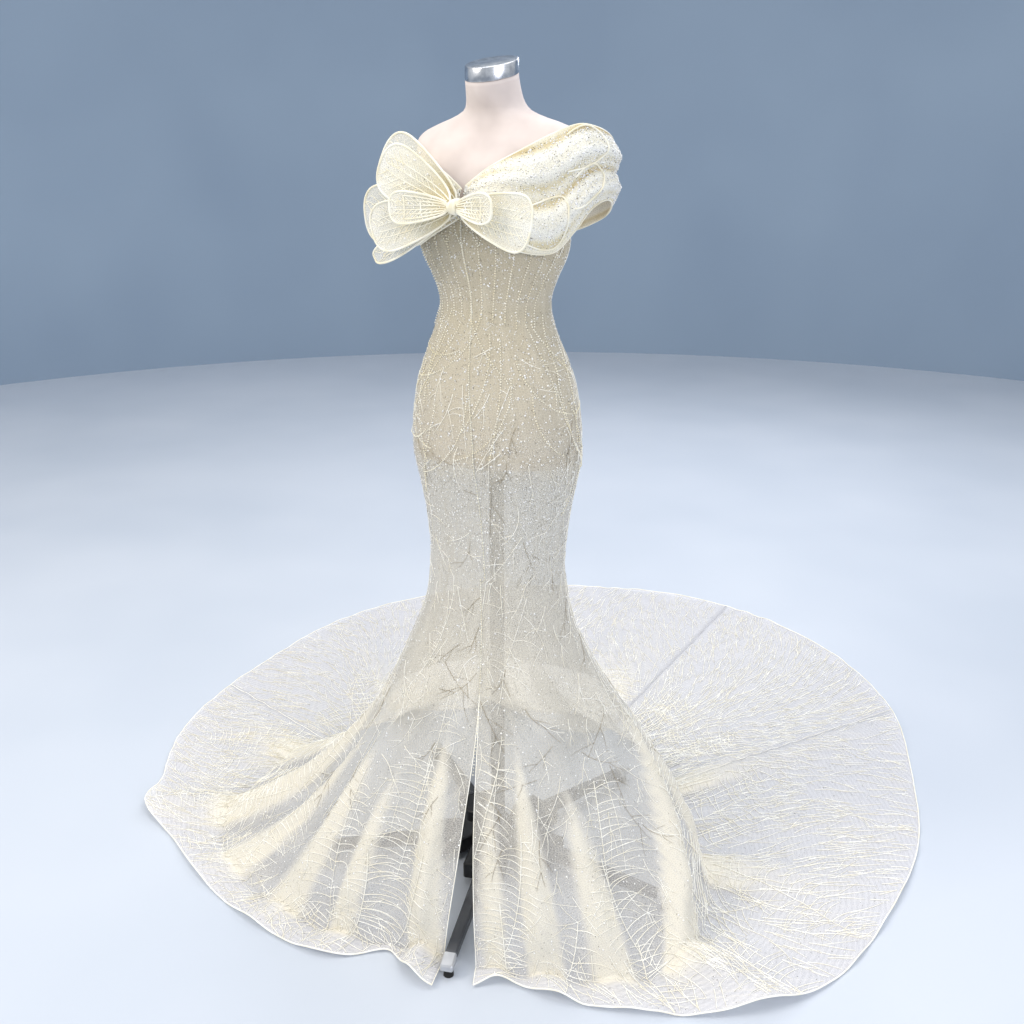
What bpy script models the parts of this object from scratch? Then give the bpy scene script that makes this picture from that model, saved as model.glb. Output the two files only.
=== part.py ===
"""Mermaid gown on a limbless dress form and star base.

The gown is cut in four long panels that meet at the centre front, the two
sides and the centre back. They follow the form to the knee, flare out and run
on over the floor as a train. A lining hangs inside them. Two pleated drapes
cross the bust and pass round the upper arms to the centre back, and a bow of
wired petals sits on the centre front. The form is one smooth torso with a
slanted metal cap on its neck, on a pole and five low legs.

Lengths are metres. Azimuth 0 is the front of the gown (-Y), and it grows
towards the wearer's left (+X).
"""

import math
from collections import namedtuple

import bmesh
import bpy
from mathutils import Matrix, Vector

# Cloth
WALL = 0.002
LINING_WALL = 0.001
PETAL_WALL = 0.0024
RIM_WALL = 0.0042
SEAM_GAP = 0.0003

# Columns round the form and the lining
RING_COLUMNS = 28

# Heights on the form and the gown
FORM_FOOT = 0.985
KNEE = 0.74
SLIT_TOP = 0.50
EASE = 0.0038
LINING_EASE = 0.0019
LINING_INSET = 0.0045
LINING_HEM_ROWS = 3
LINING_HEM_SIDE = 0.375
LINING_HEM_RISE = 0.125

# Train: the hem is nearly a circle, set back from the form
HEM_RADIUS = 1.05
HEM_CENTRE_X = -0.17
HEM_CENTRE_Y = 0.54
FLOOR_CLEAR = 0.0003

# Below this height the folds rise from the floor more than they stand out
FLOOR_TURN = 0.12

# Side seams, as azimuths: they turn back below the knee
SIDE_SEAM = 104.0
SEAM_TURN_RIGHT = 0.0
SEAM_TURN_LEFT = 45.0

# Stand
POLE_RADIUS = 0.016
HUB_TOP = 0.088
HUB_FOOT = 0.018
HUB_RADIUS = 0.045
SOCKET_NECK = 0.014
SOCKET_HALF_WIDTH = 0.045
SOCKET_SHOULDER = 0.090
SOCKET_END = 0.155
SOCKET_TOP = 0.062
LEG_COUNT = 5
FIRST_LEG = 17.2
LEG_START = 0.1553
LEG_END = 0.415
CAP_END = 0.452
LEG_HALF_WIDTH = 0.0125
FOOT_RADIUS = 0.011

# Neck cap
NECK_TOP = 1.722
CAP_HEIGHT = 0.026
CAP_RADIUS = 0.0512
CAP_SLANT = 0.27

# A section of the form: two half ellipses that share one half width
Section = namedtuple("Section", "height half_width front back centre_y")
FORM = (
    Section(0.985, 0.1805, 0.132, 0.136, 0.000),
    Section(1.033, 0.1830, 0.133, 0.138, 0.000),
    Section(1.100, 0.1760, 0.126, 0.130, 0.000),
    Section(1.140, 0.1680, 0.119, 0.124, 0.000),
    Section(1.180, 0.1545, 0.110, 0.115, 0.000),
    Section(1.220, 0.1370, 0.100, 0.101, 0.000),
    Section(1.260, 0.1215, 0.091, 0.090, 0.000),
    Section(1.303, 0.1135, 0.086, 0.083, 0.000),
    Section(1.345, 0.1260, 0.093, 0.085, 0.000),
    Section(1.400, 0.1510, 0.112, 0.089, 0.000),
    Section(1.440, 0.1560, 0.121, 0.092, 0.000),
    Section(1.480, 0.1550, 0.117, 0.095, 0.000),
    Section(1.520, 0.1580, 0.103, 0.097, 0.002),
    Section(1.560, 0.1680, 0.088, 0.094, 0.006),
    Section(1.592, 0.1820, 0.074, 0.086, 0.010),
    Section(1.610, 0.1830, 0.064, 0.076, 0.013),
    Section(1.626, 0.1670, 0.055, 0.066, 0.015),
    Section(1.640, 0.1320, 0.050, 0.057, 0.015),
    Section(1.651, 0.0960, 0.048, 0.050, 0.013),
    Section(1.663, 0.0690, 0.048, 0.048, 0.009),
    Section(1.678, 0.0580, 0.049, 0.048, 0.002),
    Section(1.700, 0.0530, 0.050, 0.049, -0.005),
    Section(1.722, 0.0510, 0.050, 0.050, -0.010),
)

# The gown below the form, down to the knee
SKIRT = (
    Section(1.033, 0.1895, 0.1395, 0.1445, 0.0),
    Section(0.985, 0.1870, 0.1385, 0.1425, 0.0),
    Section(0.940, 0.1785, 0.1300, 0.1390, 0.0),
    Section(0.880, 0.1660, 0.1200, 0.1320, 0.0),
    Section(0.830, 0.1580, 0.1150, 0.1280, 0.0),
    Section(0.780, 0.1540, 0.1130, 0.1250, 0.0),
    Section(0.740, 0.1520, 0.1130, 0.1240, 0.0),
)

# How far from the form's axis the cloth lands on the floor. Where it lands near,
# it hangs steeply, and where it lands far it sweeps out in a low curve
Landing = namedtuple("Landing", "azimuth reach")
LANDINGS = (
    Landing(-180.0, 0.640),
    Landing(-140.0, 0.670),
    Landing(-100.0, 0.700),
    Landing(-65.0, 0.680),
    Landing(-40.0, 0.560),
    Landing(-20.0, 0.470),
    Landing(0.0, 0.405),
    Landing(25.0, 0.415),
    Landing(45.0, 0.465),
    Landing(70.0, 0.550),
    Landing(95.0, 0.520),
    Landing(120.0, 0.470),
    Landing(150.0, 0.530),
    Landing(180.0, 0.640),
)
NEAR_LANDING = 0.42
FAR_LANDING = 0.70

# The flare: how far each height has spread from the knee to where the cloth lands
Flare = namedtuple("Flare", "height steep swept")
FLARE = (
    Flare(0.680, 0.020, 0.008),
    Flare(0.620, 0.060, 0.036),
    Flare(0.560, 0.135, 0.084),
    Flare(0.500, 0.230, 0.130),
    Flare(0.430, 0.350, 0.183),
    Flare(0.360, 0.480, 0.245),
    Flare(0.290, 0.610, 0.325),
    Flare(0.215, 0.735, 0.435),
    Flare(0.145, 0.840, 0.560),
    Flare(0.085, 0.920, 0.720),
    Flare(0.036, 0.970, 0.870),
    Flare(0.010, 0.992, 0.965),
    Flare(0.000, 1.000, 1.000),
)
FLOOR_STEPS = (0.14, 0.36, 0.62, 0.84, 1.0)

# Rows of cloth: some from the top edge to the waist, then one at each height
BODICE_ROWS = 4
BODY_HEIGHTS = (1.300, 1.250, 1.200, 1.150, 1.100, 1.050, 0.985, 0.900, 0.820, 0.740)

# Waves of the hem: where it reaches further out or less far than the circle
Wave = namedtuple("Wave", "azimuth width reach")
HEM_WAVES = (
    Wave(-112.0, 18.0, -0.060),
    Wave(-70.0, 5.0, 0.045),
    Wave(-2.0, 8.0, -0.075),
    Wave(32.0, 10.0, -0.045),
    Wave(80.0, 24.0, 0.100),
    Wave(136.0, 14.0, -0.040),
    Wave(178.0, 20.0, 0.060),
)

# Folds of the skirt and train: each is a rounded ridge that starts at a height
# and keeps a share of its depth at the hem
Fold = namedtuple("Fold", "azimuth_top azimuth_hem width depth start keep")
FOLDS = (
    Fold(-168.0, -172.0, 7.0, 0.022, 0.55, 0.15),
    Fold(-142.0, -150.0, 8.0, 0.026, 0.60, 0.20),
    Fold(-118.0, -127.0, 7.0, 0.020, 0.50, 0.20),
    Fold(-88.0, -96.0, 7.0, 0.018, 0.50, 0.20),
    Fold(-66.0, -71.0, 5.5, 0.034, 0.55, 0.60),
    Fold(-46.0, -52.0, 5.5, 0.022, 0.50, 0.40),
    Fold(-30.0, -33.0, 5.0, 0.026, 0.52, 0.50),
    Fold(-14.0, -16.0, 4.5, 0.018, 0.55, 0.70),
    Fold(2.0, 8.0, 5.0, 0.032, 0.58, 1.00),
    Fold(26.0, 30.0, 4.0, 0.018, 0.58, 0.90),
    Fold(38.0, 43.0, 4.5, 0.026, 0.60, 0.80),
    Fold(56.0, 57.0, 5.0, 0.020, 0.50, 0.50),
    Fold(122.0, 75.0, 6.0, 0.045, 0.52, 0.60),
    Fold(128.0, 108.0, 7.0, 0.024, 0.50, 0.30),
    Fold(158.0, 147.0, 5.0, 0.018, 0.50, 0.60),
)

# Centre-front seam: it turns towards the wearer's left below the hip
SeamPoint = namedtuple("SeamPoint", "height azimuth half_opening")
FRONT_SEAM = (
    SeamPoint(1.60, 0.0, 0.0),
    SeamPoint(1.25, 0.5, 0.0),
    SeamPoint(1.033, 8.0, 0.0),
    SeamPoint(0.740, 14.0, 0.0),
    SeamPoint(0.500, 19.0, 0.0),
    SeamPoint(0.250, 19.3, 2.4),
    SeamPoint(0.000, 19.5, 4.9),
)

# Top edge of the bodice
TopPoint = namedtuple("TopPoint", "azimuth height")
TOP_EDGE = (
    TopPoint(0.0, 1.500),
    TopPoint(35.0, 1.505),
    TopPoint(70.0, 1.470),
    TopPoint(100.0, 1.440),
    TopPoint(140.0, 1.425),
    TopPoint(180.0, 1.420),
)

# Pleated drapes: sections from the centre front round the arm to the centre back
Drape = namedtuple("Drape", "top_x top_y top_z low_x low_y low_z puff")
DRAPE_LEFT = (
    Drape(0.004, -0.1150, 1.527, 0.004, -0.1224, 1.474, 0.004),
    Drape(0.050, -0.106, 1.560, 0.056, -0.131, 1.440, 0.010),
    Drape(0.106, -0.088, 1.590, 0.112, -0.100, 1.412, 0.015),
    Drape(0.152, -0.066, 1.615, 0.158, -0.056, 1.408, 0.018),
    Drape(0.198, -0.046, 1.634, 0.190, -0.030, 1.446, 0.019),
    Drape(0.222, -0.024, 1.632, 0.214, -0.010, 1.486, 0.017),
    Drape(0.234, 0.012, 1.620, 0.228, 0.024, 1.502, 0.016),
    Drape(0.224, 0.056, 1.602, 0.222, 0.064, 1.492, 0.014),
    Drape(0.182, 0.098, 1.580, 0.184, 0.106, 1.464, 0.012),
    Drape(0.108, 0.108, 1.560, 0.108, 0.104, 1.434, 0.008),
    Drape(0.004, 0.110, 1.548, 0.004, 0.0972, 1.424, 0.006),
)
DRAPE_RIGHT = (
    Drape(-0.004, -0.1150, 1.521, -0.004, -0.1232, 1.470, 0.003),
    Drape(-0.050, -0.106, 1.552, -0.056, -0.130, 1.440, 0.006),
    Drape(-0.106, -0.088, 1.574, -0.112, -0.100, 1.416, 0.008),
    Drape(-0.152, -0.064, 1.584, -0.158, -0.056, 1.412, 0.008),
    Drape(-0.194, -0.040, 1.590, -0.184, -0.032, 1.438, 0.009),
    Drape(-0.218, -0.012, 1.586, -0.212, -0.008, 1.460, 0.010),
    Drape(-0.222, 0.022, 1.580, -0.220, 0.028, 1.466, 0.010),
    Drape(-0.208, 0.060, 1.572, -0.208, 0.066, 1.462, 0.010),
    Drape(-0.168, 0.098, 1.562, -0.168, 0.104, 1.446, 0.009),
    Drape(-0.100, 0.108, 1.552, -0.100, 0.104, 1.432, 0.008),
    Drape(-0.004, 0.110, 1.548, -0.004, 0.0972, 1.424, 0.006),
)
DRAPE_PLEATS = 2.0
DRAPE_COLUMNS = 28
DRAPE_ROWS = 8

# Bow: petals fan out from the knot. Angle 0 points level to the side, and the
# lift is how far forward of the knot's middle the petal starts and ends
KNOT = Vector((0.014, -0.170, 1.492))
KNOT_HALF_WIDTH = 0.011
KNOT_HALF_DEPTH = 0.0340
KNOT_HALF_HEIGHT = 0.015
KNOT_SETBACK = 0.0095
KNOT_CLEAR = 0.0002
Petal = namedtuple(
    "Petal", "name side angle length half_width rise blunt lift_root lift_tip cup wave"
)
PETALS = (
    Petal("petal_right_upper_back", -1, 28.0, 0.198, 0.064, 0.55, 8.0, -0.021, -0.026, 0.003, 0.0015),
    Petal("petal_right_side_back", -1, -6.0, 0.214, 0.060, 0.60, 8.0, -0.014, -0.013, 0.003, 0.0015),
    Petal("petal_right_tail", -1, -26.0, 0.240, 0.026, 1.00, 3.0, -0.027, -0.042, 0.001, 0.000),
    Petal("petal_right_lower", -1, -15.0, 0.190, 0.048, 0.50, 8.0, -0.006, 0.006, 0.004, 0.0015),
    Petal("petal_right_upper_front", -1, 28.0, 0.168, 0.056, 0.50, 6.0, 0.001, 0.018, 0.005, 0.0015),
    Petal("petal_right_loop", -1, -1.0, 0.120, 0.030, 0.60, 6.0, 0.009, 0.034, 0.006, 0.000),
    Petal("petal_left_lower", 1, -11.0, 0.160, 0.054, 0.55, 10.0, -0.004, -0.008, 0.004, 0.0015),
    Petal("petal_left_loop", 1, 0.0, 0.092, 0.027, 0.60, 6.0, 0.007, 0.020, 0.006, 0.000),
)
PETAL_END = 0.006
PETAL_ROWS = 10
PETAL_COLUMNS = 6

Finish = namedtuple("Finish", "colour roughness metallic")
FINISHES = {
    "beaded_tulle": Finish((0.80, 0.76, 0.62), 0.60, 0.0),
    "champagne_lining": Finish((0.62, 0.53, 0.38), 0.55, 0.0),
    "corded_organza": Finish((0.84, 0.79, 0.60), 0.50, 0.0),
    "form_jersey": Finish((0.78, 0.72, 0.69), 0.85, 0.0),
    "chrome": Finish((0.80, 0.80, 0.82), 0.12, 1.0),
    "grey_steel": Finish((0.35, 0.36, 0.38), 0.40, 1.0),
    "black_plastic": Finish((0.03, 0.03, 0.035), 0.45, 0.0),
    "silver_plastic": Finish((0.72, 0.73, 0.75), 0.35, 0.3),
    "rubber": Finish((0.02, 0.02, 0.02), 0.80, 0.0),
}


def clear_scene():
    """Remove every object that is in the scene."""
    for obj in list(bpy.data.objects):
        bpy.data.objects.remove(obj, do_unlink=True)


def make_collection(name):
    """A collection of this name, linked to the scene."""
    collection = bpy.data.collections.new(name)
    bpy.context.scene.collection.children.link(collection)
    return collection


def make_materials():
    """One Principled material for each finish."""
    made = {}
    for name, finish in FINISHES.items():
        material = bpy.data.materials.new(name)
        material.use_nodes = True
        shader = material.node_tree.nodes["Principled BSDF"]
        shader.inputs["Base Color"].default_value = (*finish.colour, 1.0)
        shader.inputs["Roughness"].default_value = finish.roughness
        shader.inputs["Metallic"].default_value = finish.metallic
        material.diffuse_color = (*finish.colour, 1.0)
        made[name] = material
    return made


def smoothstep(x):
    """0 below 0, 1 above 1, and an even curve between."""
    x = min(max(x, 0.0), 1.0)
    return x * x * (3.0 - 2.0 * x)


def turn_between(a, b):
    """The angle from b to a in degrees, from -180 to 180."""
    return (a - b + 180.0) % 360.0 - 180.0


def along(table, key, value):
    """The table's row at this value of one column, on a smooth curve through its rows."""
    rows = sorted(table, key=lambda row: getattr(row, key))
    keys = [getattr(row, key) for row in rows]
    value = min(max(value, keys[0]), keys[-1])
    i = max(k for k in range(len(keys) - 1) if keys[k] <= value)
    share = (value - keys[i]) / (keys[i + 1] - keys[i])
    return curve_row(rows, i, share)


def curve_row(rows, i, share):
    """A row between rows i and i + 1, by a Catmull-Rom curve in every column."""
    near = [rows[max(i - 1, 0)], rows[i], rows[i + 1], rows[min(i + 2, len(rows) - 1)]]
    values = []
    for a, b, c, d in zip(*near):
        slope_b = (c - a) / 2.0
        slope_c = (d - b) / 2.0
        t2 = share * share
        t3 = t2 * share
        values.append(
            (2 * t3 - 3 * t2 + 1) * b
            + (t3 - 2 * t2 + share) * slope_b
            + (-2 * t3 + 3 * t2) * c
            + (t3 - t2) * slope_c
        )
    return type(rows[0])(*values)


def ring_point(section, azimuth, ease):
    """A point on a section of the form, moved outwards by the ease."""
    angle = math.radians(azimuth)
    depth = section.front if math.cos(angle) > 0 else section.back
    x = (section.half_width + ease) * math.sin(angle)
    y = section.centre_y - (depth + ease) * math.cos(angle)
    return Vector((x, y, section.height))


def body_point(azimuth, height, ease):
    """A point of the gown's inner face between its top edge and the knee."""
    if height >= FORM_FOOT + 0.03:
        return ring_point(along(FORM, "height", height), azimuth, EASE + ease)
    return ring_point(along(SKIRT, "height", height), azimuth, ease)


def hem_reach(azimuth):
    """The distance from the form's axis to the hem."""
    angle = math.radians(azimuth)
    inward = HEM_CENTRE_X * math.sin(angle) - HEM_CENTRE_Y * math.cos(angle)
    offset = HEM_CENTRE_X**2 + HEM_CENTRE_Y**2
    radius = HEM_RADIUS
    for wave in HEM_WAVES:
        radius += wave.reach * math.exp(-((turn_between(azimuth, wave.azimuth) / wave.width) ** 2))
    return inward + math.sqrt(inward**2 - offset + radius**2)


def landing_reach(azimuth):
    """The distance from the form's axis to where the cloth lands on the floor."""
    return along(LANDINGS, "azimuth", turn_between(azimuth, 0.0)).reach


def flare_base(azimuth, step):
    """(reach, height) of the flare and train without folds, at a row of the grid."""
    knee = ring_point(SKIRT[-1], azimuth, 0.0)
    knee_reach = math.hypot(knee.x, knee.y)
    landed = landing_reach(azimuth)
    if step < len(FLARE):
        row = FLARE[step]
        steepness = smoothstep((FAR_LANDING - landed) / (FAR_LANDING - NEAR_LANDING))
        spread = row.swept + (row.steep - row.swept) * steepness
        return knee_reach + (landed - knee_reach) * spread, row.height
    share = FLOOR_STEPS[step - len(FLARE)]
    return landed + (hem_reach(azimuth) - landed) * share, 0.0


def fold_depth(azimuth, step):
    """How far the folds push the cloth out at a row of the flare."""
    on_floor = max(0, step - len(FLARE) + 1)
    share = FLOOR_STEPS[on_floor - 1] if on_floor else 0.0
    height = FLARE[step].height if not on_floor else 0.0
    total = 0.0
    for fold in FOLDS:
        fallen = max(fold.start - height, 0.0) / fold.start
        centre = fold.azimuth_top + (fold.azimuth_hem - fold.azimuth_top) * fallen
        grown = smoothstep((fold.start - height) / (fold.start - 0.12))
        kept = 1.0 + (fold.keep - 1.0) * share
        away = turn_between(azimuth, centre) / fold.width
        total += fold.depth * grown * kept * math.exp(-away * away)
    return total


def flare_point(azimuth, step):
    """A point of the gown's inner face from the knee to the hem."""
    reach, height = flare_base(azimuth, step)
    last = len(FLARE) + len(FLOOR_STEPS) - 1
    reach_a, height_a = flare_base(azimuth, max(step - 1, 0))
    reach_b, height_b = flare_base(azimuth, min(step + 1, last))
    out = Vector((height_a - height_b, reach_b - reach_a)).normalized()
    depth = fold_depth(azimuth, step)
    out = out.lerp(Vector((0.0, 1.0)), smoothstep(1.0 - height / FLOOR_TURN))
    reach += depth * out.x
    height += depth * out.y
    angle = math.radians(azimuth)
    height = max(height, FLOOR_CLEAR)
    return Vector((reach * math.sin(angle), -reach * math.cos(angle), height))


def top_height(azimuth):
    """The height of the bodice's top edge."""
    return along(TOP_EDGE, "azimuth", abs(turn_between(azimuth, 0.0))).height


def front_seam(height, side):
    """The azimuth of the centre-front edge of one panel at a height. Side -1 is the wearer's right."""
    row = along(FRONT_SEAM, "height", height)
    return row.azimuth + side * max(row.half_opening, 0.0)


def side_seam(height, side):
    """The azimuth of a side seam at a height. Side -1 is the wearer's right."""
    turn = SEAM_TURN_LEFT if side > 0 else SEAM_TURN_RIGHT
    return side * (SIDE_SEAM + turn * smoothstep((KNEE - height) / KNEE))


def make_object(name, mesh, material, collection):
    """An object of this mesh, with its material and smooth shading."""
    mesh.materials.append(material)
    mesh.shade_smooth()
    mesh.set_sharp_from_angle(angle=math.radians(40))
    obj = bpy.data.objects.new(name, mesh)
    collection.objects.link(obj)
    return obj


def grid_mesh(name, grid, closed=False):
    """An open mesh through a grid of points, row by row. A closed grid joins its last column to its first."""
    work = bmesh.new()
    rows = [[work.verts.new(point) for point in row] for row in grid]
    columns = len(rows[0])
    for upper, lower in zip(rows, rows[1:]):
        for j in range(columns if closed else columns - 1):
            k = (j + 1) % columns
            work.faces.new((upper[j], lower[j], lower[k], upper[k]))
    mesh = bpy.data.meshes.new(name)
    work.to_mesh(mesh)
    work.free()
    return mesh


def cloth(name, grid, material, collection, wall=WALL, closed=False, thick=None):
    """A cloth piece: a grid of its inner face, given its wall by Solidify.

    Thick holds a share of the wall for each point, for rims that stand proud.
    """
    obj = make_object(name, grid_mesh(name, grid, closed), material, collection)
    solidify = obj.modifiers.new("wall", "SOLIDIFY")
    solidify.thickness = wall
    solidify.offset = 1.0
    if thick is not None:
        group = obj.vertex_groups.new(name="rim")
        shares = [share for row in thick for share in row]
        for index, share in enumerate(shares):
            group.add([index], share, "REPLACE")
        solidify.vertex_group = "rim"
        solidify.thickness_vertex_group = 0.0
    return obj


def panel_row(azimuths, row):
    """One row of a panel: over the bust, down the body, or on the flare and train."""
    points = []
    for azimuth in azimuths:
        if row < BODICE_ROWS:
            top = top_height(azimuth)
            height = top + (BODY_HEIGHTS[0] - top) * row / BODICE_ROWS
            points.append(body_point(azimuth, height, 0.0))
        elif row < BODICE_ROWS + len(BODY_HEIGHTS):
            points.append(body_point(azimuth, BODY_HEIGHTS[row - BODICE_ROWS], 0.0))
        else:
            points.append(flare_point(azimuth, row - BODICE_ROWS - len(BODY_HEIGHTS)))
    return points


def row_height(row):
    """The height at which a row of cloth meets the centre-front seam."""
    if row < BODICE_ROWS:
        top = top_height(0.0)
        return top + (BODY_HEIGHTS[0] - top) * row / BODICE_ROWS
    heights = BODY_HEIGHTS + tuple(step.height for step in FLARE)
    row -= BODICE_ROWS
    return heights[row] if row < len(heights) else 0.0


def panel_grid(side, front, columns):
    """The grid of one long panel, from the top edge over the hip and knee to the hem."""
    grid = []
    for row in range(BODICE_ROWS + len(BODY_HEIGHTS) + len(FLARE) + len(FLOOR_STEPS)):
        side_edge = side_seam(row_height(row), side)
        if front:
            edges = (front_seam(row_height(row), side), side_edge)
        else:
            edges = (side_edge, side * 180.0)
        azimuths = [edges[0] + (edges[1] - edges[0]) * k / columns for k in range(columns + 1)]
        if side < 0:
            azimuths.reverse()
        grid.append(panel_row(azimuths, row))
    return part_seams(grid)


def part_seams(grid):
    """Draw the two side edges of a grid in by half the seam gap."""
    for row in grid:
        for end, inner in ((0, 1), (-1, -2)):
            inward = (row[inner] - row[end]).normalized()
            row[end] = row[end] + inward * (SEAM_GAP / 2.0 + 0.0002)
    return grid


def make_panels(materials, collection):
    """The four long panels of the gown."""
    plan = (
        ("panel_front_right", -1, True, 20),
        ("panel_front_left", 1, True, 18),
        ("panel_back_right", -1, False, 10),
        ("panel_back_left", 1, False, 10),
    )
    for name, side, front, columns in plan:
        grid = panel_grid(side, front, columns)
        cloth(name, grid, materials["beaded_tulle"], collection)


def lining_hem(azimuth):
    """The height of the lining's hem, which rises to the slit."""
    rise = (0.5 + 0.5 * math.cos(math.radians(azimuth - 18.0))) ** 4
    return LINING_HEM_SIDE + LINING_HEM_RISE * rise


def lining_point(azimuth, height):
    """A point of the lining's inner face."""
    if height >= KNEE:
        return body_point(azimuth, height, LINING_EASE - EASE)
    heights = [KNEE] + [row.height for row in FLARE]
    i = max(k for k in range(len(heights) - 1) if heights[k] >= height)
    share = (heights[i] - height) / (heights[i] - heights[i + 1])
    reaches = [math.hypot(*ring_point(SKIRT[-1], azimuth, 0.0).xy)]
    reaches += [flare_base(azimuth, step)[0] for step in range(len(FLARE))]
    reach = reaches[i] + (reaches[i + 1] - reaches[i]) * share - LINING_INSET
    angle = math.radians(azimuth)
    return Vector((reach * math.sin(angle), -reach * math.cos(angle), height))


def make_lining(materials, collection):
    """The lining, from the waist to a hem that shows through the skirt."""
    azimuths = [360.0 * k / RING_COLUMNS for k in range(RING_COLUMNS)]
    whole_rows = BODY_HEIGHTS + tuple(row.height for row in FLARE if row.height > SLIT_TOP + 0.03)
    grid = [[lining_point(azimuth, height) for azimuth in azimuths] for height in whole_rows]
    for step in range(1, LINING_HEM_ROWS + 1):
        points = []
        for azimuth in azimuths:
            drop = lining_hem(azimuth) - whole_rows[-1]
            height = whole_rows[-1] + drop * step / LINING_HEM_ROWS
            points.append(lining_point(azimuth, height))
        grid.append(points)
    cloth(
        "lining", grid, materials["champagne_lining"], collection, wall=LINING_WALL, closed=True
    )


def drape_point(table, along_share, down_share):
    """A point of a drape: along from the centre front, down from its upper edge."""
    place = along_share * (len(table) - 1)
    i = min(int(place), len(table) - 2)
    row = curve_row(table, i, place - i)
    before = curve_row(table, max(i - 1, 0), 0.0)
    after = curve_row(table, min(i + 1, len(table) - 2), 1.0)
    top = Vector((row.top_x, row.top_y, row.top_z))
    low = Vector((row.low_x, row.low_y, row.low_z))
    run = Vector((after.top_x - before.top_x, after.top_y - before.top_y, 0.0))
    out = Vector((run.y, -run.x, 0.0)).normalized()
    if table is DRAPE_RIGHT:
        out = -out
    pleats = 0.5 - 0.5 * math.cos(2.0 * math.pi * DRAPE_PLEATS * down_share)
    whole = math.sin(math.pi * down_share)
    return top.lerp(low, down_share) + out * row.puff * (0.25 * whole + 0.75 * pleats)


def make_drapes(materials, collection):
    """The two pleated drapes that cross the bust and pass round the arms."""
    for name, table in (("drape_left", DRAPE_LEFT), ("drape_right", DRAPE_RIGHT)):
        grid = []
        for row in range(DRAPE_ROWS + 1):
            points = [
                drape_point(table, k / DRAPE_COLUMNS, row / DRAPE_ROWS)
                for k in range(DRAPE_COLUMNS + 1)
            ]
            if table is DRAPE_RIGHT:
                points.reverse()
            grid.append(points)
        cloth(name, grid, materials["corded_organza"], collection)


def outside_knot(point):
    """Whether a point lies clear of the knot."""
    away = point - KNOT - Vector((0.0, KNOT_SETBACK, 0.0))
    x = away.x / (KNOT_HALF_WIDTH + KNOT_CLEAR)
    y = away.y / (KNOT_HALF_DEPTH + KNOT_CLEAR)
    z = away.z / (KNOT_HALF_HEIGHT + KNOT_CLEAR)
    return x * x + y * y + z * z > 1.0


def petal_start(petal):
    """How far from the knot's middle a petal starts, so that it just clears the knot."""
    wall = Vector((0.0, -RIM_WALL, 0.0))
    start = 0.0
    while True:
        root = [petal_point(petal, 0.0, s / 4.0, start) for s in range(-4, 5)]
        if all(outside_knot(point) and outside_knot(point + wall) for point in root):
            return start
        start += 0.0001


def petal_point(petal, t, s, start):
    """A point of a petal: t from the knot to the tip, s across it from -1 to 1."""
    angle = math.radians(petal.angle)
    run = Vector((petal.side * math.cos(angle), 0.0, math.sin(angle)))
    across = Vector((-petal.side * math.sin(angle), 0.0, math.cos(angle)))
    rounding = max(1.0 - t**petal.blunt, 0.0)
    half = petal.half_width * t**petal.rise * math.sqrt(rounding) + PETAL_END
    lift = petal.lift_root + (petal.lift_tip - petal.lift_root) * smoothstep(t)
    lift += petal.cup * (s * half / petal.half_width) ** 2 * math.sin(math.pi * min(t, 0.97))
    lift += petal.wave * math.cos(3.0 * math.pi * s) * t * t * (1.0 - abs(s)) * rounding**2
    reach = start + (petal.length - start) * t
    return KNOT + run * reach + across * half * s + Vector((0.0, -lift, 0.0))


def make_bow(materials, collection):
    """The knot and its petals, each with a corded rim that stands proud."""
    work = bmesh.new()
    bmesh.ops.create_uvsphere(work, u_segments=12, v_segments=8, radius=1.0)
    size = Matrix.Diagonal((KNOT_HALF_WIDTH, KNOT_HALF_DEPTH, KNOT_HALF_HEIGHT, 1.0))
    middle = Matrix.Translation(KNOT + Vector((0.0, KNOT_SETBACK, 0.0)))
    bmesh.ops.transform(work, matrix=middle @ size, verts=work.verts)
    mesh = bpy.data.meshes.new("bow_knot")
    work.to_mesh(mesh)
    work.free()
    make_object("bow_knot", mesh, materials["corded_organza"], collection)
    for petal in PETALS:
        grid = []
        thick = []
        start = petal_start(petal)
        for row in range(PETAL_ROWS + 1):
            t = math.sin(0.5 * math.pi * row / PETAL_ROWS)
            signs = [2.0 * k / PETAL_COLUMNS - 1.0 for k in range(PETAL_COLUMNS + 1)]
            points = [petal_point(petal, t, s, start) for s in signs]
            if petal.side < 0:
                points.reverse()
            grid.append(points)
            tip = row == PETAL_ROWS
            rim = [1.0 if tip or abs(s) > 0.99 else PETAL_WALL / RIM_WALL for s in signs]
            thick.append(rim)
        cloth(
            petal.name, grid, materials["corded_organza"], collection, wall=RIM_WALL, thick=thick
        )


def make_form(materials, collection):
    """The torso with its neck, one closed smooth body."""
    azimuths = [360.0 * k / RING_COLUMNS for k in range(RING_COLUMNS)]
    work = bmesh.new()
    rings = []
    for section in FORM:
        tilt = CAP_SLANT * smoothstep((section.height - 1.655) / (NECK_TOP - 1.655))
        ring = []
        for azimuth in azimuths:
            point = ring_point(section, azimuth, 0.0)
            point.z += tilt * (point.y - section.centre_y)
            ring.append(work.verts.new(point))
        rings.append(ring)
    for lower, upper in zip(rings, rings[1:]):
        for j in range(len(azimuths)):
            k = (j + 1) % len(azimuths)
            work.faces.new((lower[j], lower[k], upper[k], upper[j]))
    work.faces.new(reversed(rings[0]))
    work.faces.new(rings[-1])
    bmesh.ops.recalc_face_normals(work, faces=work.faces)
    mesh = bpy.data.meshes.new("form_torso")
    work.to_mesh(mesh)
    work.free()
    make_object("form_torso", mesh, materials["form_jersey"], collection)


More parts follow.
